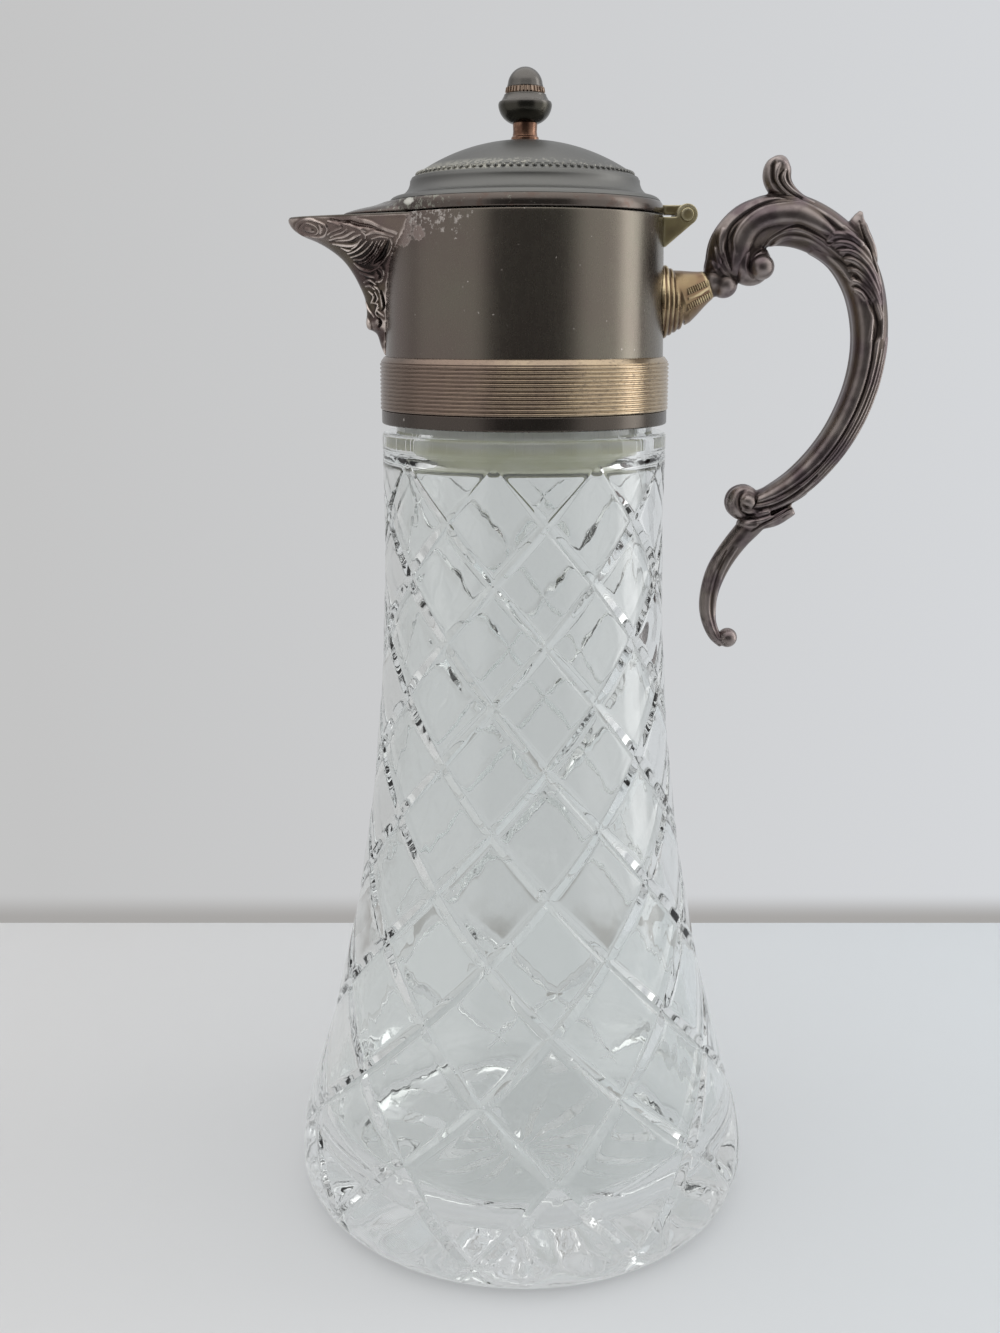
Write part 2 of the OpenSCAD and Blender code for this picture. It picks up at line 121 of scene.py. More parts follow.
def arc(cx, cy, r, start, end, steps):  # angles in degrees
    turns = [math.radians(lerp(start, end, i / steps)) for i in range(steps + 1)]
    return [(cx + r * math.cos(a), cy + r * math.sin(a)) for a in turns]


def rounded(corners, steps=5):  # corners are (r, z) or (r, z, fillet)
    line = []
    for i, (x, y, *fillet) in enumerate(corners):
        if not fillet:
            line.append((x, y))
            continue
        here = Vector((x, y))
        back, ahead = (Vector(corners[k % len(corners)][:2]) - here for k in (i - 1, i + 1))
        start, end = (here + way.normalized() * min(fillet[0], way.length * 0.49) for way in (back, ahead))
        for k in range(steps + 1):
            t = k / steps
            line.append(tuple(start * (1 - t) ** 2 + here * 2 * t * (1 - t) + end * t * t))
    return line


def lathe(name, outline, steps=192, closed=True):
    edges = [(i, (i + 1) % len(outline)) for i in range(len(outline) - (0 if closed else 1))]
    piece = newMesh(name, [(r, 0, z) for r, z in outline], edges=edges)
    turn = lambda: bpy.ops.mesh.spin(steps=steps, angle=2 * math.pi, center=(0, 0, 0), axis=(0, 0, 1))
    return editAll(piece, turn, facesOut)


def loft(name, rings):  # a closed solid over rings of points
    n = len(rings[0])
    points = [p for ring in rings for p in ring]
    sides = [(i * n + j, i * n + (j + 1) % n, (i + 1) * n + (j + 1) % n, (i + 1) * n + j)
             for i in range(len(rings) - 1) for j in range(n)]
    ends = [tuple(range(n)), tuple(range(len(points) - n, len(points)))]
    return editAll(newMesh(name, points, sides + ends), facesOut)


def tubes(name, lines, roundness=3):  # each line is a list of (x, y, z, radius)
    curve = bpy.data.curves.new(name, "CURVE")
    curve.dimensions = "3D"
    curve.bevel_depth = mm
    curve.bevel_resolution = roundness
    curve.use_fill_caps = True
    for line in lines:
        spline = curve.splines.new("POLY")
        spline.points.add(len(line) - 1)
        for point, (x, y, z, r) in zip(spline.points, line):
            point.co = (x * mm, y * mm, z * mm, 1)
            point.radius = r
    piece = bpy.data.objects.new(name, curve)
    bpy.context.scene.collection.objects.link(piece)
    only(piece)
    bpy.ops.object.convert(target="MESH")
    return editAll(piece, facesOut)


def bothSides(lines):
    return lines + [[(x, -y, z, r) for x, y, z, r in line] for line in lines]


def pointsOf(mesh, what):
    values = np.empty(len(mesh.vertices) * 3)
    mesh.vertices.foreach_get(what, values)
    return values.reshape(-1, 3)


def markRelief(piece, passes=24, depth=0.16):  # how far each point stands above or below its surroundings
    mesh = piece.data
    count = len(mesh.vertices)
    points, normals = pointsOf(mesh, "co"), pointsOf(mesh, "normal")
    edges = np.empty(len(mesh.edges) * 2, int)
    mesh.edges.foreach_get("vertices", edges)
    a, b = edges[::2], edges[1::2]
    ends, others = np.concatenate([a, b]), np.concatenate([b, a])
    share = np.maximum(np.bincount(ends, minlength=count), 1)
    calm = points.copy()
    for _ in range(passes):
        calm = np.stack([np.bincount(ends, calm[others, k], count) / share for k in range(3)], 1)
    height = ((points - calm) * normals).sum(1) / (depth * mm)
    mesh.attributes.new("relief", "FLOAT", "POINT").data.foreach_set("value", np.clip(height, -1, 1))
    return piece


def castAsOne(name, parts, voxel, passes):  # melts overlapping solids into one soft casting
    piece = joined(name, parts)
    applied(piece, "REMESH", mode="VOXEL", voxel_size=voxel * mm, use_smooth_shade=True)
    applied(piece, "SMOOTH", factor=0.5, iterations=passes)
    return piece


def filledIn(line):  # a point that says only x and z keeps the width and height before it
    full = []
    for point in line:
        full.append(tuple(point) + full[-1][2:] if len(point) == 2 else tuple(point))
    return full


# How carved lines are shaped: the half width from which a line is a broad form, how pointed each kind is,
# and how far a surface has to face sideways to be carved in full
carving = {"broad": 1.2, "formPower": 0.8, "detailPower": 1.4, "groovePower": 1.2, "facing": 0.4}


# Raises or sinks the two cheeks along lines of (x, z, half width, height)
def carved(piece, lines, fine, deep, waver=0.0):
    mesh = piece.data
    points, normals = pointsOf(mesh, "co") / mm, pointsOf(mesh, "normal")
    flat = points[:, [0, 2]] + waver * np.sin(points[:, [2, 0]] * 1.1 + np.sin(points[:, [0, 2]] * 0.7) * 2)
    x, z = points[:, 0], points[:, 2]
    uneven = 1 - waver * (1 + np.sin(x * 1.9 + z) * np.sin(z * 2.3 - x))
    forms, details, grooves = (np.zeros(len(points)) for _ in range(3))
    for line in lines:
        path = np.array(smoothLine(filledIn(line), 6))
        reach = path[:, 2].max()
        low, high = path[:, :2].min(0) - reach, path[:, :2].max(0) + reach
        near = np.flatnonzero(((flat > low) & (flat < high)).all(1))
        layer, power = details, carving["detailPower"]
        if path[:, 3].mean() < 0:
            layer, power = grooves, carving["groovePower"]
        elif reach > carving["broad"]:
            layer, power = forms, carving["formPower"]
        spots, best = flat[near], np.zeros(len(near))
        for a, b in zip(path, path[1:]):
            step = b[:2] - a[:2]
            t = np.clip((spots - a[:2]) @ step / (step @ step), 0, 1)
            off = np.linalg.norm(spots - a[:2] - t[:, None] * step, axis=1) / lerp(a[2], b[2], t)
            best = np.maximum(best, np.clip(1 - off * off, 0, 1) ** power * np.abs(lerp(a[3], b[3], t)))
        layer[near] = np.maximum(layer[near], best)
    facing = np.clip(normals[:, 1] * np.sign(points[:, 1]) / carving["facing"], 0, 1)
    shift = (forms + (details * fine - grooves * deep) * uneven) * facing * facing * (3 - 2 * facing)
    mesh.vertices.foreach_set("co", ((points + normals * shift[:, None]) * mm).ravel())
    mesh.update()
    applied(piece, "SMOOTH", factor=0.35, iterations=1)
    return piece


def copyOf(node):  # a CAD node's mesh, merged, as a start for a better piece
    deselectAll()
    piece = bpy.data.objects.new(node + "Copy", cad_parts[node].data.copy())
    bpy.context.scene.collection.objects.link(piece)
    piece.data.materials.clear()
    return editAll(piece, facesOut)


def finished(piece, body, slot, finish, *nodes, angle=35):
    only(piece)
    bpy.ops.object.shade_smooth_by_angle(angle=math.radians(angle))
    piece.data.materials.clear()
    piece.data.materials.append(finish)
    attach(piece, body)
    if nodes:
        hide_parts(*nodes)
    return piece


# Tools for making finishes

class Value:  # a shader socket; sums and products of it add Math nodes
    def __init__(self, finish, socket):
        self.finish, self.socket = finish, socket

    def math(self, operation, *inputs):
        return self.finish.node("ShaderNodeMath", {"operation": operation}, inputs)

    def __add__(self, other):
        return self.math("ADD", self, other)

    def __sub__(self, other):
        return self.math("SUBTRACT", self, other)

    def __rsub__(self, other):
        return self.math("SUBTRACT", other, self)

    def __neg__(self):
        return self * -1

    def __mul__(self, other):
        return self.math("MULTIPLY", self, other)

    def __truediv__(self, other):
        return self.math("DIVIDE", self, other)

    def power(self, exponent):
        return self.math("POWER", self, exponent)

    def clamped(self):
        return self.finish.node("ShaderNodeClamp", {}, [self])

    def between(self, low, high):  # 0 below low, 1 above high, smooth in between
        smooth = {"interpolation_type": "SMOOTHSTEP"}
        return self.finish.node("ShaderNodeMapRange", smooth, [self, low, high, 0, 1])

    __radd__, __rmul__ = __add__, __mul__


class Finish:  # a node tree of a material or of the world
    def __init__(self, owner):
        self.owner = owner
        owner.use_nodes = True
        self.tree = owner.node_tree
        self.shader = self.tree.nodes.get("Principled BSDF") or self.tree.nodes["Background"]

    def node(self, kind, settings, inputs=(), output=0):
        made = self.tree.nodes.new(kind)
        for key, value in settings.items():
            setattr(made, key, value)
        named = inputs.items() if isinstance(inputs, dict) else enumerate(inputs)
        for key, value in named:
            self.put(made.inputs[key], value)
        return Value(self, made.outputs[output])

    def put(self, socket, value):
        if isinstance(value, Value):
            self.tree.links.new(value.socket, socket)
        else:
            socket.default_value = (*value, 1) if socket.type == "RGBA" and len(value) == 3 else value

    def set(self, **values):  # baseColor=... goes to the socket Base Color
        for key, value in values.items():
            name = "".join(" " + c if c.isupper() else c for c in key).title()
            self.put(self.shader.inputs[name.replace("I O R", "IOR")], value)
        return self

    def place(self):  # x, y and z of the object, in metres
        spot = self.node("ShaderNodeTexCoord", {}, output=3)
        return [self.node("ShaderNodeSeparateXYZ", {}, [spot], axis) for axis in range(3)]

    def spotAt(self, x=1, y=1, z=1):  # the object's coordinates, stretched
        spot = self.node("ShaderNodeTexCoord", {}, output=3)
        return self.node("ShaderNodeVectorMath", {"operation": "MULTIPLY"}, [spot, (x, y, z)])

    def noise(self, size, detail=3, rough=0.5, spot=None):
        spot = spot or self.node("ShaderNodeTexCoord", {}, output=3)
        return self.node("ShaderNodeTexNoise", {}, {
            "Vector": spot, "Scale": 1 / (size * mm), "Detail": detail, "Roughness": rough})

    def mix(self, amount, low, high):
        return self.node("ShaderNodeMix", {"data_type": "RGBA"}, {0: amount, 6: low, 7: high}, output=2)

    def bump(self, height, distance, strength=1.0):
        return self.node("ShaderNodeBump", {}, {
            "Strength": strength, "Distance": distance * mm, "Height": height})

    def tone(self):  # what feeds the base colour so far
        return Value(self, self.shader.inputs["Base Color"].links[0].from_socket)

    def ray(self, kind):  # 1 for rays of that kind
        output = {"camera": 0, "glossy": 3, "transmission": 6}[kind]
        return self.node("ShaderNodeLightPath", {}, output=output)

    def attribute(self, name):
        return self.node("ShaderNodeAttribute", {"attribute_name": name}, output=2)


def newFinish(name):
    return Finish(bpy.data.materials.new(name))


def srgb(r, g, b):  # a colour as it reads in a picture, 0 to 255
    return tuple(((c / 255 + 0.055) / 1.055) ** 2.4 if c > 10 else c / 255 / 12.92 for c in (r, g, b))


# Camera, light and stage

viewpoint = {
    "place": (-6.2, -380, 239.7),
    "downTilt": 13.37,  # degrees
    "lens": 39.16,
    "sensor": 36,
}
stage = {
    "wallY": 174,  # the wall meets the table this far behind the jug
    "reach": 1400,
    "fadeFrom": 430, "fadeTo": 640,  # the table and the wall melt into the room over this distance
    "tableLeft": srgb(210, 210, 210), "tableRight": srgb(214, 218, 221),
    # painted light and shade: the table is painted paler towards the wall's foot to make up for the wall's
    # shade, and darker behind the wall
    "farther": 0.16, "behind": 0.28,  # how much paler the table is at the wall's foot, and darker behind it
    "shadowLift": 0.45,  # how much of the table's own colour shows in the shadows
    # the wall's foot colour is a painted shadow along the corner where wall and table meet
    "wallLeft": srgb(196, 196, 196), "wallRight": srgb(213, 215, 218), "wallFootShade": srgb(168, 166, 164),
    "cornerShadeHeights": (1.5, 13.5),  # the dark line where they meet ends between these heights
    "clear": 0.75,  # how pale the table looks through the glass
    "bounces": 40,
}
light = {
    "room": 0.9, "above": 1.5, "below": 0.7, "backdrop": 0.68,
    "aboveFrom": (0.25, 0.9), "belowFrom": (-0.9, -0.3),  # how high the sight line points, from -1 to 1
    "patchFoot": (-0.75, -0.55), "patchHead": (0.45, 0.7),
    # heading in degrees (0 towards the viewer, 90 to the right), half width, softness, and what it adds
    "viewer": (4, 28, 20, -0.8),
    "rightWindow": (95, 7, 7, 1.9), "rightBack": (145, 20, 16, 0.3),
    "leftRoom": (-75, 26, 16, -0.22), "leftBack": (-120, 14, 16, -0.3),
    "lessInGlass": 0.6,  # how much weaker the patches are when seen through the glass
}


def setCamera():
    tilt = math.radians(90 - viewpoint["downTilt"])
    bpy.ops.object.camera_add(location=[c * mm for c in viewpoint["place"]], rotation=(tilt, 0, 0))
    camera = bpy.context.object
    camera.data.sensor_width = viewpoint["sensor"]
    camera.data.lens = viewpoint["lens"]
    camera.data.clip_start = 0.01
    bpy.context.scene.camera = camera
    bpy.context.scene.view_settings.view_transform = "Standard"


def setLightPaths():  # thick cut glass goes dark without them
    paths = bpy.context.scene.cycles
    paths.max_bounces = paths.transmission_bounces = stage["bounces"]
    paths.glossy_bounces = 12
    paths.diffuse_bounces = 5


def setBackdrop(stagePiece, finish, tone, seen, away):  # shows its plain tone to some rays, and melts away
    glow = finish.node("ShaderNodeEmission", {}, {"Color": tone, "Strength": 1.0})
    clear = finish.node("ShaderNodeBsdfTransparent", {})
    shader = Value(finish, finish.shader.outputs[0])
    for amount, other in ((seen, glow), (away, clear)):
        shader = finish.node("ShaderNodeMixShader", {}, {0: amount, 1: shader, 2: other})
    finish.put(finish.tree.nodes["Material Output"].inputs[0], shader)
    stagePiece.data.materials.append(finish.owner)


def setTable():
    bpy.ops.mesh.primitive_plane_add(size=2)
    table = bpy.context.object
    table.name = "stageTable"
    table.scale = (stage["reach"] * mm, stage["reach"] * mm, 1)
    bpy.ops.object.transform_apply(location=False, rotation=False, scale=True)
    finish = newFinish("tablePaper")
    x, y, z = finish.place()
    tone = finish.mix((x * 3 + 0.5).clamped(), stage["tableLeft"], stage["tableRight"])
    foot = stage["wallY"] * mm
    # painted light towards the wall's foot, where the wall shades the table, and painted shade behind the
    # wall
    far = y.between(-0.02, foot) * stage["farther"] + 1 - y.between(foot, foot + 2 * mm) * stage["behind"]
    lit = finish.node("ShaderNodeVectorMath", {"operation": "SCALE"}, {0: tone, 3: far})
    finish.set(baseColor=lit, roughness=0.7, specularIORLevel=0.2)
    seen = (finish.ray("glossy") + finish.ray("transmission")).clamped() * stage["clear"]
    seen = seen + finish.ray("camera") * stage["shadowLift"]
    away = (x * x + y * y).power(0.5).between(stage["fadeFrom"] * mm, stage["fadeTo"] * mm)
    setBackdrop(table, finish, tone, seen, away)
    return table


def setWall():
    reach, y = stage["reach"], stage["wallY"]
    corners = [(-reach, y, 0), (reach, y, 0), (reach, y, reach), (-reach, y, reach)]
    wall = newMesh("stageWall", corners, [(0, 1, 2, 3)])
    finish = newFinish("wallPaper")
    x, y, z = finish.place()
    tone = finish.mix((x * 2.6 + 0.5).clamped(), stage["wallLeft"], stage["wallRight"])
    # painted shadow: the wall is darkened along its foot, where it meets the table
    low, high = stage["cornerShadeHeights"]
    tone = finish.mix(1 - z.between(low * mm, high * mm), tone, stage["wallFootShade"])
    finish.set(baseColor=srgb(225, 226, 228), roughness=0.8, specularIORLevel=0.1)
    seen = (finish.ray("camera") + finish.ray("glossy") + finish.ray("transmission")).clamped()
    behind = finish.node("ShaderNodeNewGeometry", {}, output=6)  # the wall doesn't hide the jug from behind
    away = (x * x + z * z).power(0.5).between(stage["fadeFrom"] * mm, stage["fadeTo"] * mm)
    setBackdrop(wall, finish, tone, seen, (behind + away).clamped())
    return wall


def setLight():
    world = Finish(bpy.data.worlds.new("studio"))
    bpy.context.scene.world = world.owner
    way = world.node("ShaderNodeTexCoord", {}, output=0)
    x, y, z = (world.node("ShaderNodeSeparateXYZ", {}, [way], axis) for axis in range(3))
    heading = x.math("ARCTAN2", x, -y) * (180 / math.pi)  # 0 towards the viewer, 90 to the right
    glow = z.between(*light["aboveFrom"]) * (light["above"] - light["room"]) + light["room"]
    glow = glow + (1 - z.between(*light["belowFrom"])) * (light["below"] - light["room"])
    upright = z.between(*light["patchFoot"]) * (1 - z.between(*light["patchHead"]))
    inGlass = world.ray("transmission") * light["lessInGlass"]
    for patch in ("viewer", "rightWindow", "rightBack", "leftRoom", "leftBack"):
        centre, half, soft, extra = light[patch]
        off = (heading - centre).math("ABSOLUTE", heading - centre)
        glow = glow + (1 - off.between(half, half + soft)) * upright * extra * (1 - inGlass)
    seen = world.ray("camera")  # the room itself looks evenly pale
    world.put(world.shader.inputs["Strength"], glow * (1 - seen) + seen * light["backdrop"])
    world.put(world.shader.inputs["Color"], srgb(254, 254, 254))


# Finishes

glassLook = {"tint": srgb(244, 246, 245), "index": 1.5, "rippleSize": 9, "ripple": 0.25}


def clearGlass():
    finish = newFinish("clearGlass")
    ripple = finish.noise(glassLook["rippleSize"], 2, 0.5, finish.spotAt(1, 1, 0.6))
    finish.set(baseColor=glassLook["tint"], roughness=0.0, iOR=glassLook["index"], transmissionWeight=1.0,
               normal=finish.bump(ripple, glassLook["ripple"], 0.6))
    return finish.owner


def sealPlastic():
    finish = newFinish("sealPlastic")
    stain = finish.noise(9, 3, 0.6, finish.spotAt(0.5, 0.5, 2))
    tone = finish.mix(stain.between(0.35, 0.65), srgb(206, 206, 178), srgb(222, 222, 206))
    upper = finish.place()[2].between(0.2085, 0.2115) * 0.8
    finish.set(baseColor=finish.mix(upper, tone, srgb(214, 214, 210)), roughness=0.45)
    return finish.owner


# Sheet metal: a broad drift between two tarnish colours, fine blotches, and faint marks of wiping
def tarnishedSheet(name, dark, light, drift, rough):
    finish = newFinish(name)
    x, y, z = finish.place()
    broad = (finish.noise(26, 2, 0.5) - 0.5) * drift + x * (8 * drift) + 0.5
    fine = finish.noise(2.2, 4, 0.65)
    tone = finish.mix((broad + (fine - 0.5) * 0.35).clamped(), srgb(*dark), srgb(*light))
    wiped = finish.noise(1.1, 3, 0.6, finish.spotAt(1, 1, 0.12))
    finish.set(baseColor=tone, metallic=0.95, normal=finish.bump(wiped, 0.008, 0.5),
               roughness=(fine - 0.5) * 0.08 + (wiped - 0.5) * 0.08 + rough)
    return finish


collarMarks = {
    "lipZ": (217.4, 218.2),  # the darker lip under the band ends between these heights
    # patches of solder: x, z and half sizes
    "solder": ((-31.0, 262.2, 4.2, 4.8), (-25.4, 260.3, 1.5, 1.7), (-29.3, 258.8, 2.2, 1.6)),
    "flakesX": -22.5, "flakesHalf": 11.765, "flakesZ": (256, 265),
}


def collarFinish():
    finish = tarnishedSheet("collarTarnish", (112, 98, 94), (118, 115, 103), drift=1.0, rough=0.27)
    marks = collarMarks
    x, y, z = (axis * 1000 for axis in finish.place())
    tone = finish.mix((1 - z.between(*marks["lipZ"])) * 0.75, finish.tone(), srgb(74, 68, 64))
    chip = finish.noise(1.5, 6, 0.75)
    near = 1 - ((x - marks["flakesX"]) / marks["flakesHalf"]).power(2)
    near = near * z.between(*marks["flakesZ"]) * (-y).between(0, 10)
    flake = (chip + near.clamped() * 0.12).between(0.63, 0.67) * near.between(0.0, 0.3)
    fleck = finish.noise(1.3, 1, 0.4).between(0.78, 0.81)
    run = -1.0
    for cx, cz, halfX, halfZ in marks["solder"]:
        inside = 1 - (((x - cx) / halfX).power(2) + ((z - cz) / halfZ).power(2)).power(0.5)
        run = inside.math("MAXIMUM", inside, run)
    run = run + (finish.noise(1.8, 5, 0.65) - 0.5) * 1.8
    solder = run.between(-0.02, 0.05) * (-y).between(0, 6)
    # a thin painted highlight along the edge of the solder
    edge = solder * (1 - run.between(0.05, 0.2))
    tone = finish.mix(solder * 0.9, tone, srgb(148, 132, 126))
    # pale flakes and flecks of plating, plus the painted highlight on the solder's edge
    pale = (flake * 0.8 + fleck * 0.8 + edge * 0.3).clamped()
    tone = finish.mix(pale, tone, srgb(194, 186, 180))
    finish.set(baseColor=tone, metallic=0.95 - pale * 0.6 - solder * 0.25)
    return finish.owner


def lidFinish():
    finish = tarnishedSheet("lidTarnish", (104, 103, 102), (113, 113, 109), drift=0.8, rough=0.42)
    x, y, z = finish.place()
    row = z.between(0.2742, 0.2748) * (1 - z.between(0.2762, 0.2775))  # pale crust along the beads
    crust = (finish.noise(0.9, 5, 0.7) + (-x).between(-0.012, 0.022) * 0.16).between(0.56, 0.64)
    finish.set(baseColor=finish.mix(row * crust * 0.75, finish.tone(), srgb(168, 166, 156)))
    return finish.owner


rimMarks = {"x": -27.5, "half": 11.111, "patch": (-27.8, 267.6), "patchHalf": (1.818, 1.111)}


def rimFinish():
    finish = tarnishedSheet("rimTarnish", (92, 83, 79), (102, 95, 89), drift=0.8, rough=0.22)
    x, y, z = (axis * 1000 for axis in finish.place())
    front = (-y).between(0, 10)
    rust = finish.noise(3.5, 5, 0.7).between(0.5, 0.72)
    browned = finish.mix(rust * 0.7, finish.tone(), srgb(92, 72, 64))
    chip = finish.noise(1.3, 6, 0.75)
    near = (1 - ((x - rimMarks["x"]) / rimMarks["half"]).power(2)) * front
    flake = (chip + near.clamped() * 0.13).between(0.62, 0.68)
    (patchX, patchZ), (halfX, halfZ) = rimMarks["patch"], rimMarks["patchHalf"]
    patch = (1 - ((x - patchX) / halfX).power(2) - ((z - patchZ) / halfZ).power(2)).clamped() * front
    pale = finish.mix(patch, srgb(150, 150, 138), srgb(226, 224, 216))
    flake = (flake * 0.7 + (patch + chip - 1).between(-0.1, 0.1)).clamped()
    finish.set(baseColor=finish.mix(flake, browned, pale), metallic=0.95 - flake * 0.6)
    return finish.owner


def bandFinish():
    finish = newFinish("bandBrass")
    x, y, z = finish.place()
    blotch = finish.noise(9, 4, 0.6)
    # paler brass in blotches and towards the right side
    paleTowardsRight = (blotch * 0.6 + 0.2 + x * 12).between(0.2, 0.85)
    grime = finish.noise(1.4, 3, 0.6, finish.spotAt(1, 1, 3))
    tone = finish.mix(paleTowardsRight, srgb(130, 113, 102), srgb(180, 162, 136))
    tone = finish.mix(grime.between(0.5, 0.75) * 0.6, tone, srgb(108, 96, 86))
    tone = finish.mix(1 - z.between(0.2176, 0.2182), tone, srgb(98, 94, 92))
    finish.set(baseColor=tone, metallic=0.95, roughness=(blotch - 0.5) * 0.1 + 0.24)
    return finish.owner


# Cast metal: dark in the hollows (tarnish and painted shade), bright on the high places (rubbed wear and
# painted highlights)
def castFinish(name, hollowTarnishAndShade, body, bodyTwo, rubbedWearAndGlint, rough, wear, metallic, pits=0.03):
    finish = newFinish(name)
    hollowTarnishAndShade, body, bodyTwo, rubbedWearAndGlint = (srgb(*colour) for colour in (hollowTarnishAndShade, body, bodyTwo, rubbedWearAndGlint))
    relief = finish.attribute("relief")
    blotch = finish.noise(8, 2, 0.5)
    fine = finish.noise(2.4, 2, 0.5)
    tone = finish.mix(blotch.between(0.38, 0.62), body, bodyTwo)
    # the hollows are darkened: partly tarnish, partly painted shade
    tone = finish.mix((-relief).between(0.1, 0.9) * 0.9, tone, hollowTarnishAndShade)
    # the high places are lightened: partly rubbed wear, partly painted highlights and glints
    high = relief.between(0.15, 0.9) * (blotch * 1.2 + fine * 0.5).between(0.6, 1.05)
    finish.set(baseColor=finish.mix(high * wear, tone, rubbedWearAndGlint), metallic=metallic,
               roughness=(blotch - 0.5) * 0.2 + rough, normal=finish.bump(fine, pits, 0.5))
    return finish


def plainMetal(name, colour, second, rough, size=3.0):
    finish = newFinish(name)
    blotch = finish.noise(size, 4, 0.65)
    tone = finish.mix(blotch.between(0.35, 0.65), srgb(*colour), srgb(*second))
    finish.set(baseColor=tone, metallic=0.95, roughness=(blotch - 0.5) * 0.2 + rough)
    return finish.owner


# Glass

glassShape = {
    "footR": 57.3, "baseR": 63, "heelZ": 10.5,
    "waistR": 36.6, "flareW": 32.5, "flareZ": 200, "flarePower": 2.3, "heelBlend": 13,
    "wall": 4.5, "floorZ": 9, "innerFillet": 19,
    "neckBlendZ": 203, "neckTopZ": 208.5, "skirtZ": 205, "mouthR": 29.4, "neckR": 33,
    "shoulderZ": 212.3, "shoulderFillet": 1.1, "rimZ": 226, "dishZ": 1.8, "standW": 4,
}
cutPattern = {
    "diamonds": 9, "rows": 12, "turn": -102.2,
    "firstRowZ": 11, "rowRise": 18.61, "rowShrink": 0.1948, "footDrop": 3,
    "topShare": 0.078, "footShare": 0.060,  # half the width of a cut, as a share of the way between two
    "depth": 1.15, "softness": 0.22,
    "pillow": 0.35,  # how far the middle of a diamond stands out
    "fadeFrom": 10.9, "fadeTo": 11.9,  # the rows over which a cut runs out to a point
    "lowest": -0.46, "lowZ": 3.6,  # rows below the first crossing, and where the cuts end
    "lines": [0, 0.016, 0.034, 0.050, 0.062, 0.070, 0.082, 0.115, 0.18, 0.27, 0.38, 0.5],
    "edgeLine": 0.070,
    "rays": 16, "rayDepth": 1.0,
}


def flare(z):
    g = glassShape
    return g["waistR"] + g["flareW"] * max(0, 1 - z / g["flareZ"]) ** g["flarePower"]


def wallR(z):  # outside radius of the glass
    z = max(0, z)
    g = glassShape
    if z < g["heelZ"]:
        inward = g["baseR"] - g["footR"]
        r = (inward ** 2 + g["heelZ"] ** 2) / (2 * inward)
        return g["baseR"] - r + math.sqrt(r * r - (g["heelZ"] - z) ** 2)
    blend = max(0, 1 - (z - g["heelZ"]) / g["heelBlend"]) ** 2
    return flare(z) - (flare(g["heelZ"]) - g["baseR"]) * blend


def rowZ(s):
    c = cutPattern
    return c["firstRowZ"] + c["rowRise"] * s - c["rowShrink"] * s * s - c["footDrop"] * max(0, 1 - s) ** 2


def cutShare(s):
    c = cutPattern
    return lerp(c["footShare"], c["topShare"], min(1, max(0, s / c["rows"])))


def widened(t, s):  # moves a mesh line so that one always runs along the edge of the cut
    whole, edge, share = round(t), cutPattern["edgeLine"], cutShare(s)
    off = abs(t - whole)
    off = off * share / edge if off < edge else share + (off - edge) * (0.5 - share) / (0.5 - edge)
    return whole + math.copysign(off, t - whole)


def cutDepth(u, v, s):  # how far the surface lies under the plain wall
    c = cutPattern
    off = [abs(t - round(t)) for t in (u, v)]
    fade = max(0, (s - c["fadeFrom"]) / (c["fadeTo"] - c["fadeFrom"]))
    cut = max(1 - t / cutShare(s) for t in off) - fade
    soft = c["softness"]
    depth = 0.5 * (cut + math.sqrt(cut ** 2 + soft ** 2)) - 0.5 * (math.sqrt(1 + soft ** 2) - 1)
    crown = (off[0] * off[1] * 4) ** 0.6
    return c["depth"] * max(0, depth) + c["pillow"] * (1 - crown) * max(0, 1 - fade)


def glassOutside():
    c = cutPattern
    near = c["lines"]
    period = near + [1 - t for t in near[-2:0:-1]]
    per = len(period)
    n = c["diamonds"] * per
    step = 180 / c["diamonds"]
    position = lambda i: i // per + period[i % per]
    low = -round(per * -c["lowest"])
    rings = []
    for q in range(low, c["rows"] * per + 1):
        ring = []
        for a in range(n):
            u, v = position(a), position(q - a)
            u, v = widened(u, u + v), widened(v, u + v)
            z = rowZ(u + v)
            shallow = min(1, max(0, (z - c["lowZ"]) / 3))
            z = max(z, c["lowZ"] + (z - c["lowZ"]) * 0.08)
            r = wallR(z) - cutDepth(u, v, u + v) * shallow
            heading = math.radians(c["turn"] + (u - v) * step)
            ring.append((r * math.cos(heading), r * math.sin(heading), z))
        rings.append(ring)
    return rings


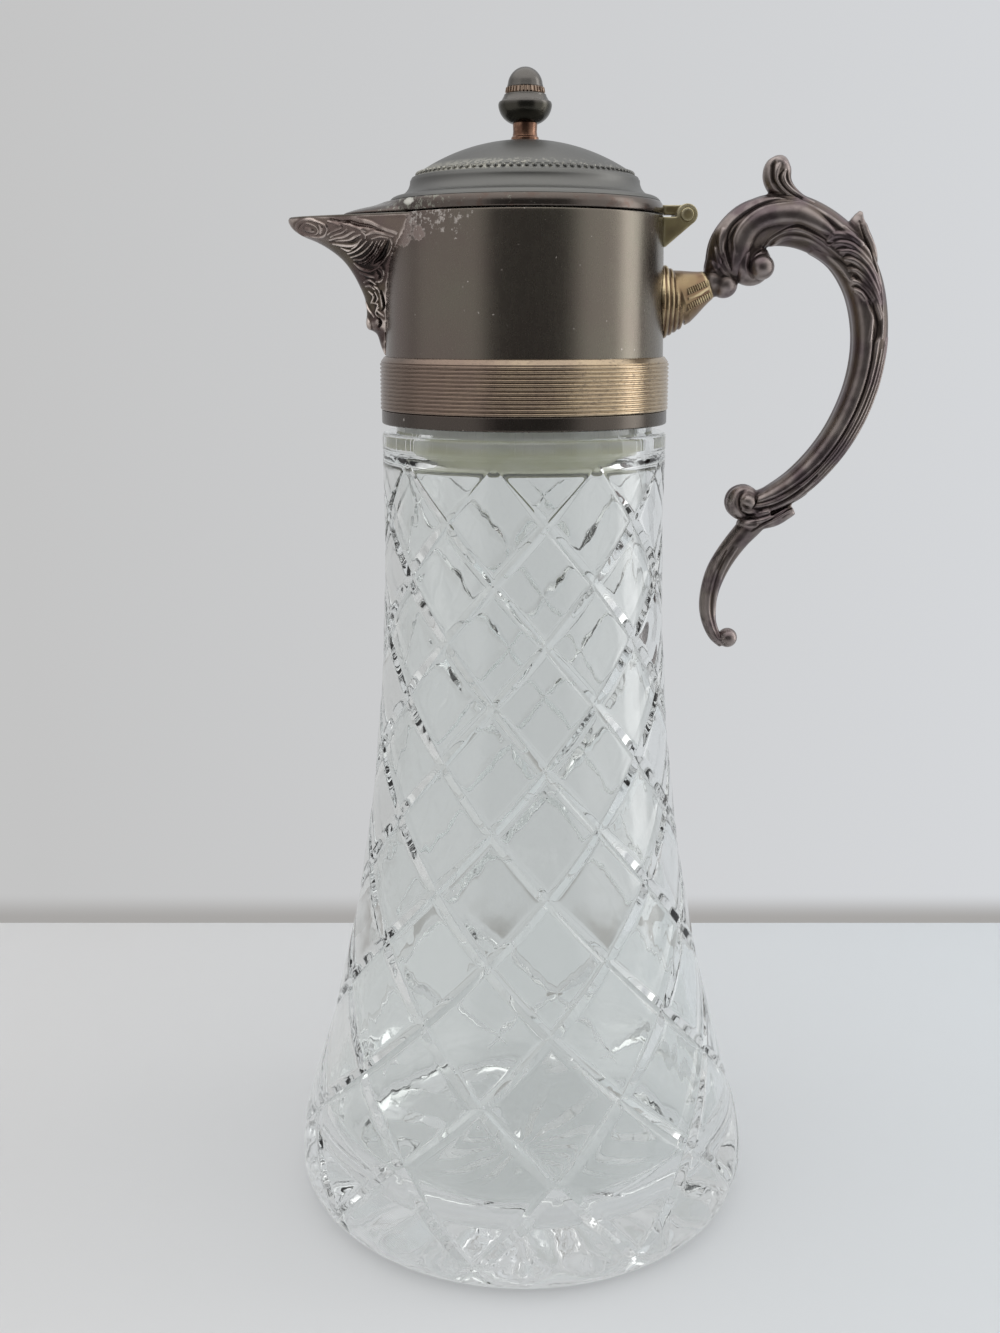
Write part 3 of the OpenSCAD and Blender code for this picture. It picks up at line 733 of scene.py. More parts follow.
def makeGlass():
    g = glassShape
    lattice = glassOutside()
    n = len(lattice[0])
    points = [p for ring in lattice for p in ring]
    levels = len(lattice) - 1
    at = lambda q, a: q * n + a % n
    faces = [(at(q, a), at(q + 1, a + 1), at(q + 2, a + 1), at(q + 1, a))
             for q in range(levels - 1) for a in range(n)]
    faces += [(at(0, a), at(0, a + 1), at(1, a + 1)) for a in range(n)]
    faces += [(at(levels - 1, a), at(levels, a + 1), at(levels, a)) for a in range(n)]

    def ring(r, z, like):  # a plain ring whose points stand under or over those of another
        start = len(points)
        for x, y, _ in like:
            size = math.hypot(x, y)
            points.append((x / size * r, y / size * r, z))
        return start

    def bridge(a, b):
        faces.extend((a + k, a + (k + 1) % n, b + (k + 1) % n, b + k) for k in range(n))

    # above the cuts: the plain zone, the shoulder, the neck, then down inside to the floor
    top, bottom = lattice[-1], lattice[0]
    fillet = g["shoulderFillet"]
    shoulder = [(g["waistR"], rowZ(cutPattern["rows"]) + 1.2), (g["waistR"], 209)]
    shoulder += arc(g["waistR"] - fillet, g["shoulderZ"] - fillet, fillet, 0, 90, 6)
    neck = [(g["neckR"] + 0.5, g["shoulderZ"]), (g["neckR"], g["shoulderZ"] + 0.5),
            (g["neckR"], g["rimZ"] - 0.8), (g["neckR"] - 0.8, g["rimZ"]), (g["mouthR"] + 0.8, g["rimZ"]),
            (g["mouthR"], g["rimZ"] - 0.8), (g["mouthR"], g["neckTopZ"] + 1)]
    waistIn = wallR(g["neckBlendZ"]) - g["wall"]
    for i in range(13):
        t = 1 - i / 12
        smooth = t * t * (3 - 2 * t)
        neck.append((lerp(waistIn, g["mouthR"], smooth), lerp(g["neckBlendZ"], g["neckTopZ"], t)))
    turnZ = g["floorZ"] + g["innerFillet"]
    turnR = wallR(turnZ) - g["wall"] - g["innerFillet"]
    for i in range(1, 60):
        z = lerp(g["neckBlendZ"], turnZ, i / 60)
        neck.append((wallR(z) - g["wall"], z))
    neck += arc(turnR, turnZ, g["innerFillet"], 0, -90, 16)
    neck += [(turnR * (1 - i / 9), g["floorZ"]) for i in range(1, 9)]
    last = at(levels, 0)
    for r, z in shoulder + neck:
        new = ring(r, z, top)
        bridge(last, new)
        last = new
    points.append((0, 0, g["floorZ"]))
    faces.extend((last + k, last + (k + 1) % n, len(points) - 1) for k in range(n))

    # below the cuts: the heel, the ring that it stands on, and the dished underside with its star
    standIn = g["footR"] - g["standW"]
    under = [(wallR(z), z) for z in (2.4, 1.6, 0.9)]
    under += [(wallR(0.35) - 0.1, 0.3), (g["footR"] - 0.6, 0), (standIn + 0.4, 0), (standIn - 0.2, 0.3),
              (standIn - 2.2, g["dishZ"] - 0.3), (standIn - 3, g["dishZ"])]
    last = 0
    for r, z in under:
        new = ring(r, z, bottom)
        bridge(last, new)
        last = new
    pitch = 360 / cutPattern["rays"]
    for i in range(1, 25):
        r = lerp(standIn - 3, 1.5, i / 24)
        new = len(points)
        for x, y, _ in bottom:
            heading = math.degrees(math.atan2(y, x))
            off = abs(heading / pitch - round(heading / pitch)) * 2  # 0 on a ray, 1 between two
            width = min(1, max(0, (standIn - 4 - r) / 8)) * min(1, r / 12)
            size = math.hypot(x, y)
            z = g["dishZ"] + cutPattern["rayDepth"] * max(0, width - off * 1.05)
            points.append((x / size * r, y / size * r, z))
        bridge(last, new)
        last = new
    points.append((0, 0, g["dishZ"]))
    faces.extend((last + k, last + (k + 1) % n, len(points) - 1) for k in range(n))
    body = editAll(newMesh("glassBody", points, faces), facesOut)
    print("glass:", len(body.data.polygons), "faces")
    return finished(body, "jug", "clear_glass", clearGlass(), "glass_body", angle=20)


# Collar, band and seal

collarShape = {
    "r": 35.35, "topR": 34.65, "sheet": 0.9, "z": 214.4, "topZ": 265.2,
    "lipR": 36.6, "lipZ": 217.9, "seatR": 31.6,
    "bandTopZ": 231.2, "bandR": 36.9, "reeds": 12, "reedTopZ": 229.7,
}
bowShape = {
    "points": 16,
    "beakFrom": 239.3, "beakTo": 259.3,  # the outline turns from a plain bow into a beak
    # height, reach and half width
    "channel": [(245.5, 37, 3.5), (248.5, 38.6, 6), (252, 40.9, 9), (255.2, 43.8, 11.8), (258, 47.6, 14.6),
                (260.2, 51.8, 16.8), (262.4, 55.4, 18.4), (264.2, 56.8, 19.2), (266.5, 56.8, 19.3)],
    "spout": [(231.3, 35.7, 0.8), (233.5, 36.6, 3.2), (236.6, 37.6, 5), (237.9, 39.5, 5.8),
              (239.3, 40.4, 6.3), (241.5, 40.1, 6.6), (245, 40.4, 7.4), (248.5, 41.8, 8.8),
              (251.5, 43.4, 10.6), (254.5, 45.6, 13), (257, 48.6, 16), (259, 52, 18.6),
              (260.5, 55.6, 20.2), (262.2, 58.2, 21), (264.2, 59.4, 21.5), (265.2, 58.9, 21.5)],
    "tongue": [(265.5, 45.4, 19), (266, 45.2, 18.8), (266.9, 42.2, 17.2), (267.7, 38.2, 15),
               (268.6, 35.4, 12.5)],
}


def bow(z, tip, half, root, beak):  # an outline of the spout at one height
    ring = []
    n = bowShape["points"]
    for i in range(2 * n + 1):
        s = 1 - i / n
        a = abs(s)
        y = math.copysign(half * lerp(a, a ** 3, 0.2 * beak), s)
        ring.append((-tip + (tip - root) * a ** lerp(2, 1.6, beak), y, z))
    return ring


def beakAt(z):
    return max(0, min(1, (z - bowShape["beakFrom"]) / (bowShape["beakTo"] - bowShape["beakFrom"])))


def spoutChannel():
    root = collarShape["seatR"] - 6
    return loft("channel", [bow(z, tip, half, root, beakAt(z))
                            for z, tip, half in smoothLine(bowShape["channel"], 4)])


def makeCollar():
    c = collarShape
    inR, topInR = c["r"] - c["sheet"], c["topR"] - c["sheet"]
    shell = lathe("collarShell", rounded([
        (inR, c["z"]), (c["lipR"], c["z"], 0.5), (c["lipR"], c["lipZ"], 0.4), (c["r"], c["lipZ"]),
        (c["r"], c["bandTopZ"]), (c["topR"] + 0.08, c["topZ"] - 0.9, 0.3), (c["topR"], c["topZ"], 0.35),
        (c["seatR"], c["topZ"], 0.3), (c["seatR"], c["topZ"] - c["sheet"], 0.3),
        (topInR - 0.6, c["topZ"] - c["sheet"] - 0.2), (topInR, c["topZ"] - 2.6), (inR, c["bandTopZ"]),
    ]), 256)
    cut(shell, spoutChannel())
    finished(shell, "jug", "tarnished_plate", collarFinish(), "collar_shell")

    pitch = (c["reedTopZ"] - c["lipZ"]) / c["reeds"]
    outline = [(c["r"], c["lipZ"])]
    for i in range(c["reeds"]):
        outline += arc(c["bandR"] - pitch * 0.42, c["lipZ"] + pitch * (i + 0.5), pitch * 0.42, -78, 78, 6)
    outline += rounded([(c["bandR"] - 0.35, c["reedTopZ"]), (c["bandR"] - 0.2, c["reedTopZ"] + 0.15, 0.1),
                        (c["r"] + 0.45, c["bandTopZ"] - 0.1, 0.3), (c["r"], c["bandTopZ"])])
    finished(lathe("reededBand", outline, 256), "jug", "worn_brass", bandFinish(), "reeded_band")

    g = glassShape
    skin = 1.1
    seal = lathe("neckSeal", rounded([
        (g["mouthR"] - skin, g["skirtZ"], 0.3), (g["mouthR"], g["skirtZ"], 0.3), (g["mouthR"], g["rimZ"]),
        (g["neckR"], g["rimZ"]), (g["neckR"], c["z"] + 0.4), (inR, c["z"] + 0.4, 0.3),
        (inR, g["rimZ"] + skin, 0.4), (g["mouthR"] - skin, g["rimZ"] + skin, 0.5),
    ]))
    finished(seal, "jug", "seal_plastic", sealPlastic(), "neck_gasket")


# Spout

# Leaves, flutes and scrolls on the cheek of the spout: x, z, and where they change half width and height
spoutRelief = [
    [(-42.6, 264.3, 0.3, 0.2), (-39.6, 263.7, 0.56, 0.35), (-36.6, 262.6, 0.6, 0.4), (-33.6, 261.4),
     (-31.1, 260.4, 0.5, 0.3)],
    [(-47.8, 264, 0.26, -0.4), (-42.7, 263.3, 0.38, -0.7), (-38.9, 262.3, 0.43, -0.8),
     (-36.1, 261.5, 0.38, -0.7), (-34.1, 261, 0.25, -0.4)],
    [(-48.4, 263.6, 0.26, 0.4), (-46.8, 263.2, 0.38, 0.5), (-45, 262.6, 0.25, 0.4)],
    [(-44.5, 262.9, 0.25, 0.4), (-42.2, 262.4, 0.38, 0.5), (-40.2, 261.8), (-38.7, 261.1, 0.25, 0.3)],
    [(-44.8, 262.2, 0.25, 0.4), (-46.7, 261.6, 0.36, 0.55), (-48.7, 260.7, 0.26, 0.3)],
    [(-43.3, 261.7, 0.25, 0.4), (-45.4, 261, 0.38, 0.55), (-48, 260.1, 0.26, 0.3)],
    [(-41.5, 261.1, 0.25, 0.4), (-43.7, 260.5, 0.46, 0.6), (-46.1, 259.9, 0.39, 0.5),
     (-48.4, 259.6, 0.26, 0.3)],
    [(-40, 260.5, 0.25, 0.4), (-41.9, 259.9, 0.46, 0.55), (-44.4, 259.4, 0.38, 0.45),
     (-46.8, 259.1, 0.26, 0.3)],
    [(-48.5, 259.1, 0.23, -0.3), (-45.3, 258.8, 0.31, -0.5), (-42.6, 258.9, 0.33, -0.6),
     (-40.7, 259.6, 0.25, -0.4)],
    [(-47.7, 258.7, 0.26, 0.3), (-45.1, 258.1, 0.39, 0.45), (-42.7, 258.1, 0.38, 0.45),
     (-41.3, 258.5, 0.26, 0.3)],
    [(-45.7, 257.6, 0.26, 0.3), (-43.9, 257.1, 0.44, 0.5), (-42.5, 257.3, 0.26, 0.3)],
    [(-40, 261.2, 0.25, 0.3), (-38.7, 260.5, 0.38, 0.5), (-38.9, 259.6, 0.25, 0.3)],
    [(-38.8, 260.4, 0.25, 0.4), (-36.7, 260.7, 0.45, 0.5), (-34.2, 260.4, 0.45, 0.45),
     (-31.9, 259.8, 0.35, 0.3)],
    [(-37.3, 259.5, 0.25, 0.3), (-35.2, 259.8, 0.38, 0.45), (-33.2, 259.5, 0.33, 0.4)],
    [(-42.8, 257.5, 0.26, 0.4), (-41.4, 258.1, 0.38, 0.55), (-39.9, 259.3, 0.25, 0.4)],
    [(-44, 256.4, 0.26, 0.4), (-42.1, 256.8, 0.39, 0.6), (-40.4, 257.6, 0.38, 0.6),
     (-38.7, 258.9, 0.25, 0.4)],
    [(-43.3, 255.4, 0.26, 0.4), (-41.1, 255.9, 0.36, 0.65), (-38.9, 257.2), (-37.1, 258.9, 0.25, 0.4)],
    [(-42.6, 254.7, 0.26, 0.4), (-40.1, 255.1, 0.36, 0.7), (-37.9, 256.6), (-36, 258.8, 0.25, 0.45)],
    [(-41.3, 254, 0.26, 0.4), (-39.1, 254.6, 0.33, 0.7), (-36.9, 256.4), (-35.1, 258.8, 0.25, 0.5)],
    [(-39.7, 253.7, 0.26, 0.4), (-37.8, 254.7, 0.33, 0.75), (-35.8, 256.7), (-34.1, 258.9, 0.25, 0.5)],
    [(-37.4, 253.6, 0.26, -0.5), (-35.7, 255, 0.61, -0.9), (-34.2, 256.7), (-33.3, 258.6, 0.3, -0.5)],
    [(-32.7, 259.4, 0.25, 0.4), (-32.1, 258, 0.38, 0.6), (-32.8, 256.5, 0.38, 0.65), (-34.3, 254.9),
     (-35.8, 253.4, 0.36, 0.6)],
    [(-42.7, 253.9, 0.26, 0.3), (-40.9, 252.8, 0.41, 0.6), (-38.8, 252.1, 0.46, 0.7),
     (-36.9, 252.4, 0.39, 0.6), (-35.8, 253.2, 0.31, 0.5)],
    [(-35.8, 253.1, 0.31, 0.5), (-34.8, 252.2, 0.33, 0.6), (-34.8, 250.7), (-35.8, 249.6, 0.31, 0.5),
     (-37, 249.5, 0.23, 0.4)],
    [(-36.6, 251.7, 0.39, -0.5), (-36.1, 250.9, 0.51, -0.8), (-36.5, 250.2, 0.26, -0.4)],
    [(-41, 251.7, 0.26, 0.3), (-39.2, 251, 0.52, 0.4), (-37.6, 250.6, 0.34, 0.3)],
    [(-40.4, 249.3, 0.23, 0.3), (-38.7, 249.8, 0.34, 0.5), (-37.1, 248.9, 0.26, 0.35)],
    [(-39.9, 248.3, 0.23, 0.3), (-38.5, 248.4, 0.31, 0.4), (-37.5, 247.7, 0.23, 0.3)],
    [(-37.6, 248.5, 0.23, 0.3), (-36.4, 247.6, 0.31, 0.45), (-36, 246, 0.23, 0.3)],
    [(-38.7, 249, 0.23, -0.4), (-37.7, 248.2, 0.28, -0.5)],
    [(-35.9, 247.2, 0.26, -0.4), (-35.5, 245.5, 0.49, -0.8), (-35.4, 243.6, 0.41, -0.7),
     (-35.8, 242.4, 0.26, -0.3)],
    [(-39.1, 247.2, 0.23, 0.3), (-38, 246, 0.34, 0.45), (-38.6, 244.3, 0.23, 0.3)],
    [(-37.5, 247, 0.23, 0.3), (-36.9, 245.5, 0.28, 0.4), (-37.4, 244.3, 0.21, 0.3)],
    [(-38.2, 244.3, 0.21, 0.3), (-36.8, 243.8, 0.28, 0.4), (-37.2, 242.6, 0.21, 0.3)],
    [(-40.2, 244.6, 0.21, 0.35), (-39.1, 242.6, 0.29, 0.5), (-38, 240.9, 0.21, 0.35)],
    [(-36.5, 243.1, 0.21, 0.3), (-37.4, 242, 0.29, 0.45), (-36.9, 240.9, 0.21, 0.3)],
    [(-35.2, 241, 0.21, 0.3), (-36.4, 241.9, 0.28, 0.4), (-37, 242.6, 0.18, 0.3)],
    [(-37.2, 240.9, 0.26, -0.4), (-36.4, 239.7, 0.57, -0.85), (-36.9, 238.4, 0.34, -0.5)],
    [(-39.7, 240.4, 0.31, 0.2), (-39.6, 238.8, 0.78, 0.5), (-39, 237.4, 0.39, 0.3)],
    [(-31.9, 256.7, 0.25, 0.15), (-33.3, 252.6, 0.46, 0.3), (-33.6, 248.6), (-33.7, 243.8),
     (-34, 238.9, 0.39, 0.25)],
    [(-48.8, 261.5, 0.33, 0.5), (-49.6, 260.7), (-51.3, 260.3, 0.34, 0.5), (-53.5, 260.5), (-55.5, 261.1),
     (-56.7, 262), (-57, 263), (-56.1, 263.8), (-54.4, 264.2), (-52.3, 264.1, 0.33, 0.5), (-50.3, 263.5),
     (-49, 262.5), (-48.8, 261.5)],
    [(-51, 261.7, 0.26, 0.35), (-51.7, 261), (-53.1, 260.8), (-54.7, 261), (-55.9, 261.6), (-56.1, 262.4),
     (-55.4, 263.1), (-54, 263.4), (-52.4, 263.1), (-51.3, 262.5), (-51, 261.7)],
    [(-54.9, 262.2, 0.31, 0.3), (-54.3, 262, 0.67, 0.6), (-53.1, 261.8, 0.75, 0.65),
     (-52.2, 261.6, 0.36, 0.3)],
    [(-50.7, 263, 0.31, 0.3), (-50.2, 262.1, 0.62, 0.45), (-50.7, 261.1, 0.31, 0.3)],
]


def spoutBase():
    c = collarShape
    rings = []
    for z, tip, half in smoothLine(bowShape["spout"], 4):
        root = math.sqrt(c["topR"] ** 2 - half ** 2) - 1.2
        rings.append(bow(z, tip, half, root, beakAt(z)))
    base = loft("spoutBase", rings)
    taper = (c["r"] - c["topR"]) / (c["topZ"] - c["bandTopZ"])
    outline = [(0, 220), (c["r"] + 11 * taper, 220), (c["topR"] - 3 * taper, 268), (0, 268)]
    cut(base, lathe("collarCore", outline, 192, closed=False))
    return cut(base, spoutChannel())


def laidOn(base, lines, sink):  # lines of (x, z, radius) pressed onto the near side
    tree = BVHTree.FromObject(base, bpy.context.evaluated_depsgraph_get())
    laid = []
    for line in lines:
        on = []
        for x, z, r in line:
            hit = tree.ray_cast(Vector((x, -60, z)) * mm, Vector((0, 1, 0)))[0]
            spot = hit or tree.find_nearest(Vector((x, -6, z)) * mm)[0]
            normal = tree.find_nearest(spot)[1]
            on.append((*(spot / mm - normal * sink * r), r))
        laid.append(on)
    return laid


def spoutRim():  # the thin rolled edge of the lip
    z, tip, half = 264.75, 59.2, 21.4
    root = math.sqrt(collarShape["topR"] ** 2 - half ** 2) - 0.4
    return [(x, y, z, 0.4) for x, y, z in bow(z, tip - 0.5, half - 0.3, root, 1)]


def makeSpout():
    spout = castAsOne("pouringSpout", [spoutBase(), tubes("spoutRim", [spoutRim()])], voxel=0.22, passes=4)
    markRelief(carved(spout, spoutRelief, fine=1.0, deep=0.85, waver=0.1), passes=22, depth=0.13)
    # the near-white colour on the ridges is rubbed wear and painted glints; the near-black one in the
    # hollows is tarnish and painted shade
    finish = castFinish("spoutTarnish", (24, 18, 17), (84, 70, 68), (94, 84, 72), (236, 222, 214),
                        rough=0.24, wear=1.0, metallic=0.9, pits=0.2)
    z = finish.place()[2]
    pale = (z + finish.noise(3.0, 4, 0.6) * 0.006).between(0.2600, 0.2640) * 0.5
    tone = finish.mix(pale, finish.tone(), srgb(142, 126, 120))
    finish.set(baseColor=finish.mix(z.between(0.26455, 0.2648) * 0.85, tone, srgb(72, 68, 60)))
    print("spout:", len(spout.data.polygons), "faces")
    return finished(spout, "jug", "antique_casting", finish.owner, "spout", angle=70)


# Hinge

def makeHinge():
    greenBrass = castFinish("greenBrass", (60, 50, 36), (158, 146, 108), (116, 102, 76),
                            (216, 206, 172), rough=0.38, wear=0.8, metallic=0.6, pits=0.2).owner
    for name, node, body in (("hingeCollarLeaf", "hinge_collar_leaf", "jug"),
                             ("hingeLidLeaf", "hinge_lid_leaf", "lid"), ("hingePin", "hinge_pin", "jug")):
        piece = markRelief(castAsOne(name, [copyOf(node)], voxel=0.16, passes=3))
        finished(piece, body, "green_brass", greenBrass, node, angle=70)


# Lid and finial

lidShape = {
    "z": 265.5, "r": 34.7, "ringInR": 31, "ringTopZ": 268.6,
    "domeCurve": 48, "domeTopZ": 283.5, "skin": 0.9,
    "shoulder": (31.9, 267.6, 2.2), "cove": (32.4, 273.6, 3.8),  # r and z of the middle, and radius
    "step": [(28.35, 273.9), (28.3, 274.15), (28.15, 274.35), (27.8, 274.5), (27.5, 274.45),
             (27.35, 274.6)],
    "beads": 92, "beadR": 26.75, "beadZ": 275.15, "bead": 0.58,
    "beadSeat": (27.2, 26.3, 0.22),  # from radius, to radius, depth
    "studR": 1.5, "knobZ": 287.5, "topZ": 300.6, "studTopZ": 294,
    "stem": [(3.4, 283.2), (3.45, 284.1, 0.25), (3.1, 284.35, 0.2), (2.95, 285.4), (3.05, 287.5)],
    "cup": [(6.62, 291.9), (6.45, 292.45, 0.3), (6.05, 292.5, 0.15), (5.75, 292.9, 0.3), (5.25, 293.75),
            (5.2, 294.1, 0.15), (4.9, 294.25, 0.12), (4.62, 294.5), (4.38, 295.7), (4.5, 295.9, 0.1),
            (4.3, 296.6)],
    "nut": (4.35, 296),  # radius, and the height from which it rounds over to the tip
    "bars": 30, "bar": ((4.74, 294.6, 0.22), (4.57, 295.7, 0.2)),  # r, z and thickness of the ends
}


def makeLid():
    d = lidShape
    ring = lathe("lidRim", rounded([
        (d["ringInR"], d["z"]), (d["r"], d["z"], 0.35), (d["r"], 266.9, 0.4), (34.3, 268.1, 0.4),
        (33.86, d["ringTopZ"]), (d["ringInR"], d["ringTopZ"])]), 256)
    tongue = loft("tongue", [bow(z, tip, half, math.sqrt(d["r"] ** 2 - half ** 2) - 1.4, 0.2)
                             for z, tip, half in smoothLine(bowShape["tongue"], 5)])
    cut(tongue, lathe("ringCore", [(0, 260), (33, 260), (33, 275), (0, 275)], 128, closed=False))
    rim = castAsOne("lidRim", [ring, tongue], voxel=0.22, passes=2)
    finished(rim, "lid", "tarnished_plate", rimFinish(), "lid_rim", angle=60)

    coveR, coveZ, coveSize = d["cove"]
    seatOuterR, seatInnerR, seatDepth = d["beadSeat"]
    outer, inner = d["domeCurve"], d["domeCurve"] - d["skin"]
    centreZ = d["domeTopZ"] - outer
    angleAt = lambda r, size: math.degrees(math.acos(r / size))
    outline = [(d["ringInR"], d["ringTopZ"])] + arc(*d["shoulder"], 27, 86, 10)
    outline += arc(coveR, coveZ, coveSize, -95, -180, 14) + d["step"]
    outline += arc(0, centreZ, outer - seatDepth, angleAt(seatOuterR, outer), angleAt(seatInnerR, outer), 4)
    outline += arc(0, centreZ, outer, angleAt(seatInnerR - 0.2, outer), angleAt(d["studR"], outer), 40)
    outline += arc(0, centreZ, inner, angleAt(d["studR"], inner), angleAt(26.6, inner), 30)
    outline += arc(coveR, coveZ, coveSize + d["skin"], -180, -100, 10)
    dome = lathe("lidDome", outline, 256)
    beads = []
    for i in range(d["beads"]):
        a = 2 * math.pi * i / d["beads"]
        spot = (d["beadR"] * math.cos(a) * mm, d["beadR"] * math.sin(a) * mm, d["beadZ"] * mm)
        bpy.ops.mesh.primitive_ico_sphere_add(subdivisions=2, radius=d["bead"] * mm, location=spot)
        bpy.ops.object.transform_apply()
        beads.append(bpy.context.object)
    dome = joined("lidDome", [dome] + beads)
    finished(dome, "lid", "grey_plate", lidFinish(), "lid_dome", angle=40)

    stem = lathe("finialStem", rounded([(d["studR"], 283.2), *d["stem"], (d["studR"], d["knobZ"])]), 96)
    copper = plainMetal("copper", (150, 116, 96), (106, 78, 64), rough=0.28, size=2.0)
    finished(stem, "lid", "copper", copper, "finial_stem")

    outline = [(d["studR"], d["knobZ"])] + arc(1.75, 292, 4.9, -69, -6, 16)
    outline += rounded(d["cup"])
    nutR, nutZ = d["nut"]
    for i in range(1, 13):
        a = math.radians(8 + 82 * i / 12)
        outline.append((nutR * math.cos(a), nutZ + (d["topZ"] - nutZ) * math.sin(a)))
    outline += [(0, d["studTopZ"]), (d["studR"], d["studTopZ"])]
    knob = lathe("finialKnob", outline, 96)
    bars = []
    for i in range(d["bars"]):
        a = 2 * math.pi * i / d["bars"]
        bars.append([(r * math.cos(a), r * math.sin(a), z, thick) for r, z, thick in d["bar"]])
    knob = joined("finialKnob", [knob, tubes("knobBars", bars, 2)])
    knobTarnish = tarnishedSheet("knobTarnish", (94, 91, 88), (106, 103, 99), drift=0.5, rough=0.24)
    z = knobTarnish.place()[2]
    bowl = (1 - z.between(0.2912, 0.2924)) * 0.8
    barred = z.between(0.2943, 0.2946) * (1 - z.between(0.2956, 0.2959))
    tone = knobTarnish.mix(barred, knobTarnish.tone(), srgb(160, 140, 124))
    knobTarnish.set(baseColor=knobTarnish.mix(bowl, tone, srgb(60, 58, 50)))
    finished(knob, "lid", "grey_plate", knobTarnish.owner, "finial_knob")


# Handle

bossBars = {  # two rows of short bars along the bell, and a smooth ridge between
    # start, end, number of bars, half their length
    "rows": (((40.9, 247.1), (46.7, 249.5), 11, 0.75), ((41.0, 243.3), (47.2, 246.5), 12, 0.75)),
    "r": 0.27, "endR": 0.18,
    "ridge": [(40.9, 245.2, 0.5), (43.9, 246.5, 0.8), (46.9, 247.9, 0.5)],
}
handleRoot = {"x": 46.5, "z": 248.8, "tilt": 22}

# Centre lines of the handle's bars: x, z, half thickness, half depth
handleArm = [
    (45, 248.2, 3.4, 3.4), (47.6, 249.4, 3.6, 3.6), (50.3, 253, 4.7, 4.4), (52.9, 258.8, 5.7, 4.9),
    (58.4, 263.6, 6.3, 5.2), (66, 264.6, 6.6, 5.4), (73.6, 262.2, 6.2, 5.4), (80.6, 257.2, 5.6, 5.4),
    (85.4, 249.8, 5.2, 5.2), (87.8, 241, 4.8, 5), (88.2, 232, 4.5, 4.8), (86.6, 222.6, 4.4, 4.6),
    (83, 213.4, 4.3, 4.5), (78, 205.6, 4.1, 4.4), (71.6, 198.9, 3.9, 4.3), (65, 194.8, 3.6, 4.2),
    (59.5, 193.2, 3, 4),
]
handleTail = [
    (64, 191.6, 2.6, 3.6), (60.2, 188, 3.2, 3.4), (56.8, 184.2, 3, 3.1), (53.6, 179.8, 2.9, 2.9),
    (51.2, 175.4, 2.85, 2.8), (49.7, 170.8, 2.6, 2.6), (49.1, 166.2, 2.35, 2.4), (49.6, 162, 2, 2.2),
    (51.2, 158.2, 1.7, 2), (53.6, 155.9, 1.5, 1.9),
]
handleCurl = [
    (79, 263.2, 1.5, 2.6), (73, 267, 1.7, 3.0), (68, 269.4, 2.0, 3.2), (64.5, 271.8, 3.0, 3.4),
    (62.9, 274.5, 3.55, 3.4), (63.0, 277, 3.4, 3.2), (63.2, 279, 2.3, 2.5), (63.2, 280.0, 0.9, 1.2),
]
handleLeafTip = [
    (87.2, 253, 2, 2.6), (86.1, 258, 2.2, 2.8), (84.3, 261.4, 2.4, 2.7), (83.6, 263.6, 2.3, 2.2),
    (83.9, 265.4, 1.2, 1.5), (84.3, 266.7, 0.5, 0.8),
]
handleSpur = [
    (60.5, 187.8, 1.6, 2.4), (65.5, 189.4, 2.2, 2.8), (69, 190.9, 1.7, 2.4), (70.7, 191.8, 1.4, 1.8),
]
# x, z, radius and half depth of the discs of the two volutes, and of the balls
handleDiscs = [
    (57.1, 253.8, 5.3, 4.3), (57.6, 193.7, 4.4, 4.4), (50.5, 248.9, 3.4, 4.1), (48.2, 249.8, 3.6, 3.9),
]
handleBalls = [(59.4, 253.1, 3.2, 6.2), (54.7, 157.4, 2.6, 2.6)]

# Rolls and ridges along the arm: station, place across it (-1 inside, 1 outside), half width, height
armRelief = [
    [(6.2, -0.94, 0.8, 0.3), (7, -0.84, 1.3, 0.5), (7.8, -0.7, 1.8, 0.7), (8.6, -0.58, 2.1, 0.85),
     (10, -0.52, 2.3, 0.9), (12, -0.5, 2.2, 0.9), (14, -0.5, 2.1, 0.85), (15, -0.46, 1.7, 0.6),
     (15.5, -0.4, 1.2, 0.3)],
    [(8.6, 0.1, 0.5, -0.3), (9.4, 0.03, 0.55, -0.5), (11, -0.02, 0.45, -0.5), (14, -0.02, 0.4, -0.5)],
    [(9.3, 0.34, 0.4, 0.2), (10, 0.2, 0.5, 0.4), (12, 0.16, 0.5, 0.5), (14, 0.16)],
    [(9.9, 0.5, 0.35, 0.3), (11, 0.4, 0.42, 0.45), (14, 0.38)],
    [(9.7, 0.7, 0.35, 0.3), (11, 0.6, 0.42, 0.45), (14, 0.58)],
    [(9.6, 0.88, 0.4, 0.3), (11, 0.8, 0.45, 0.45), (14.4, 0.78, 0.45, 0.4)],
]

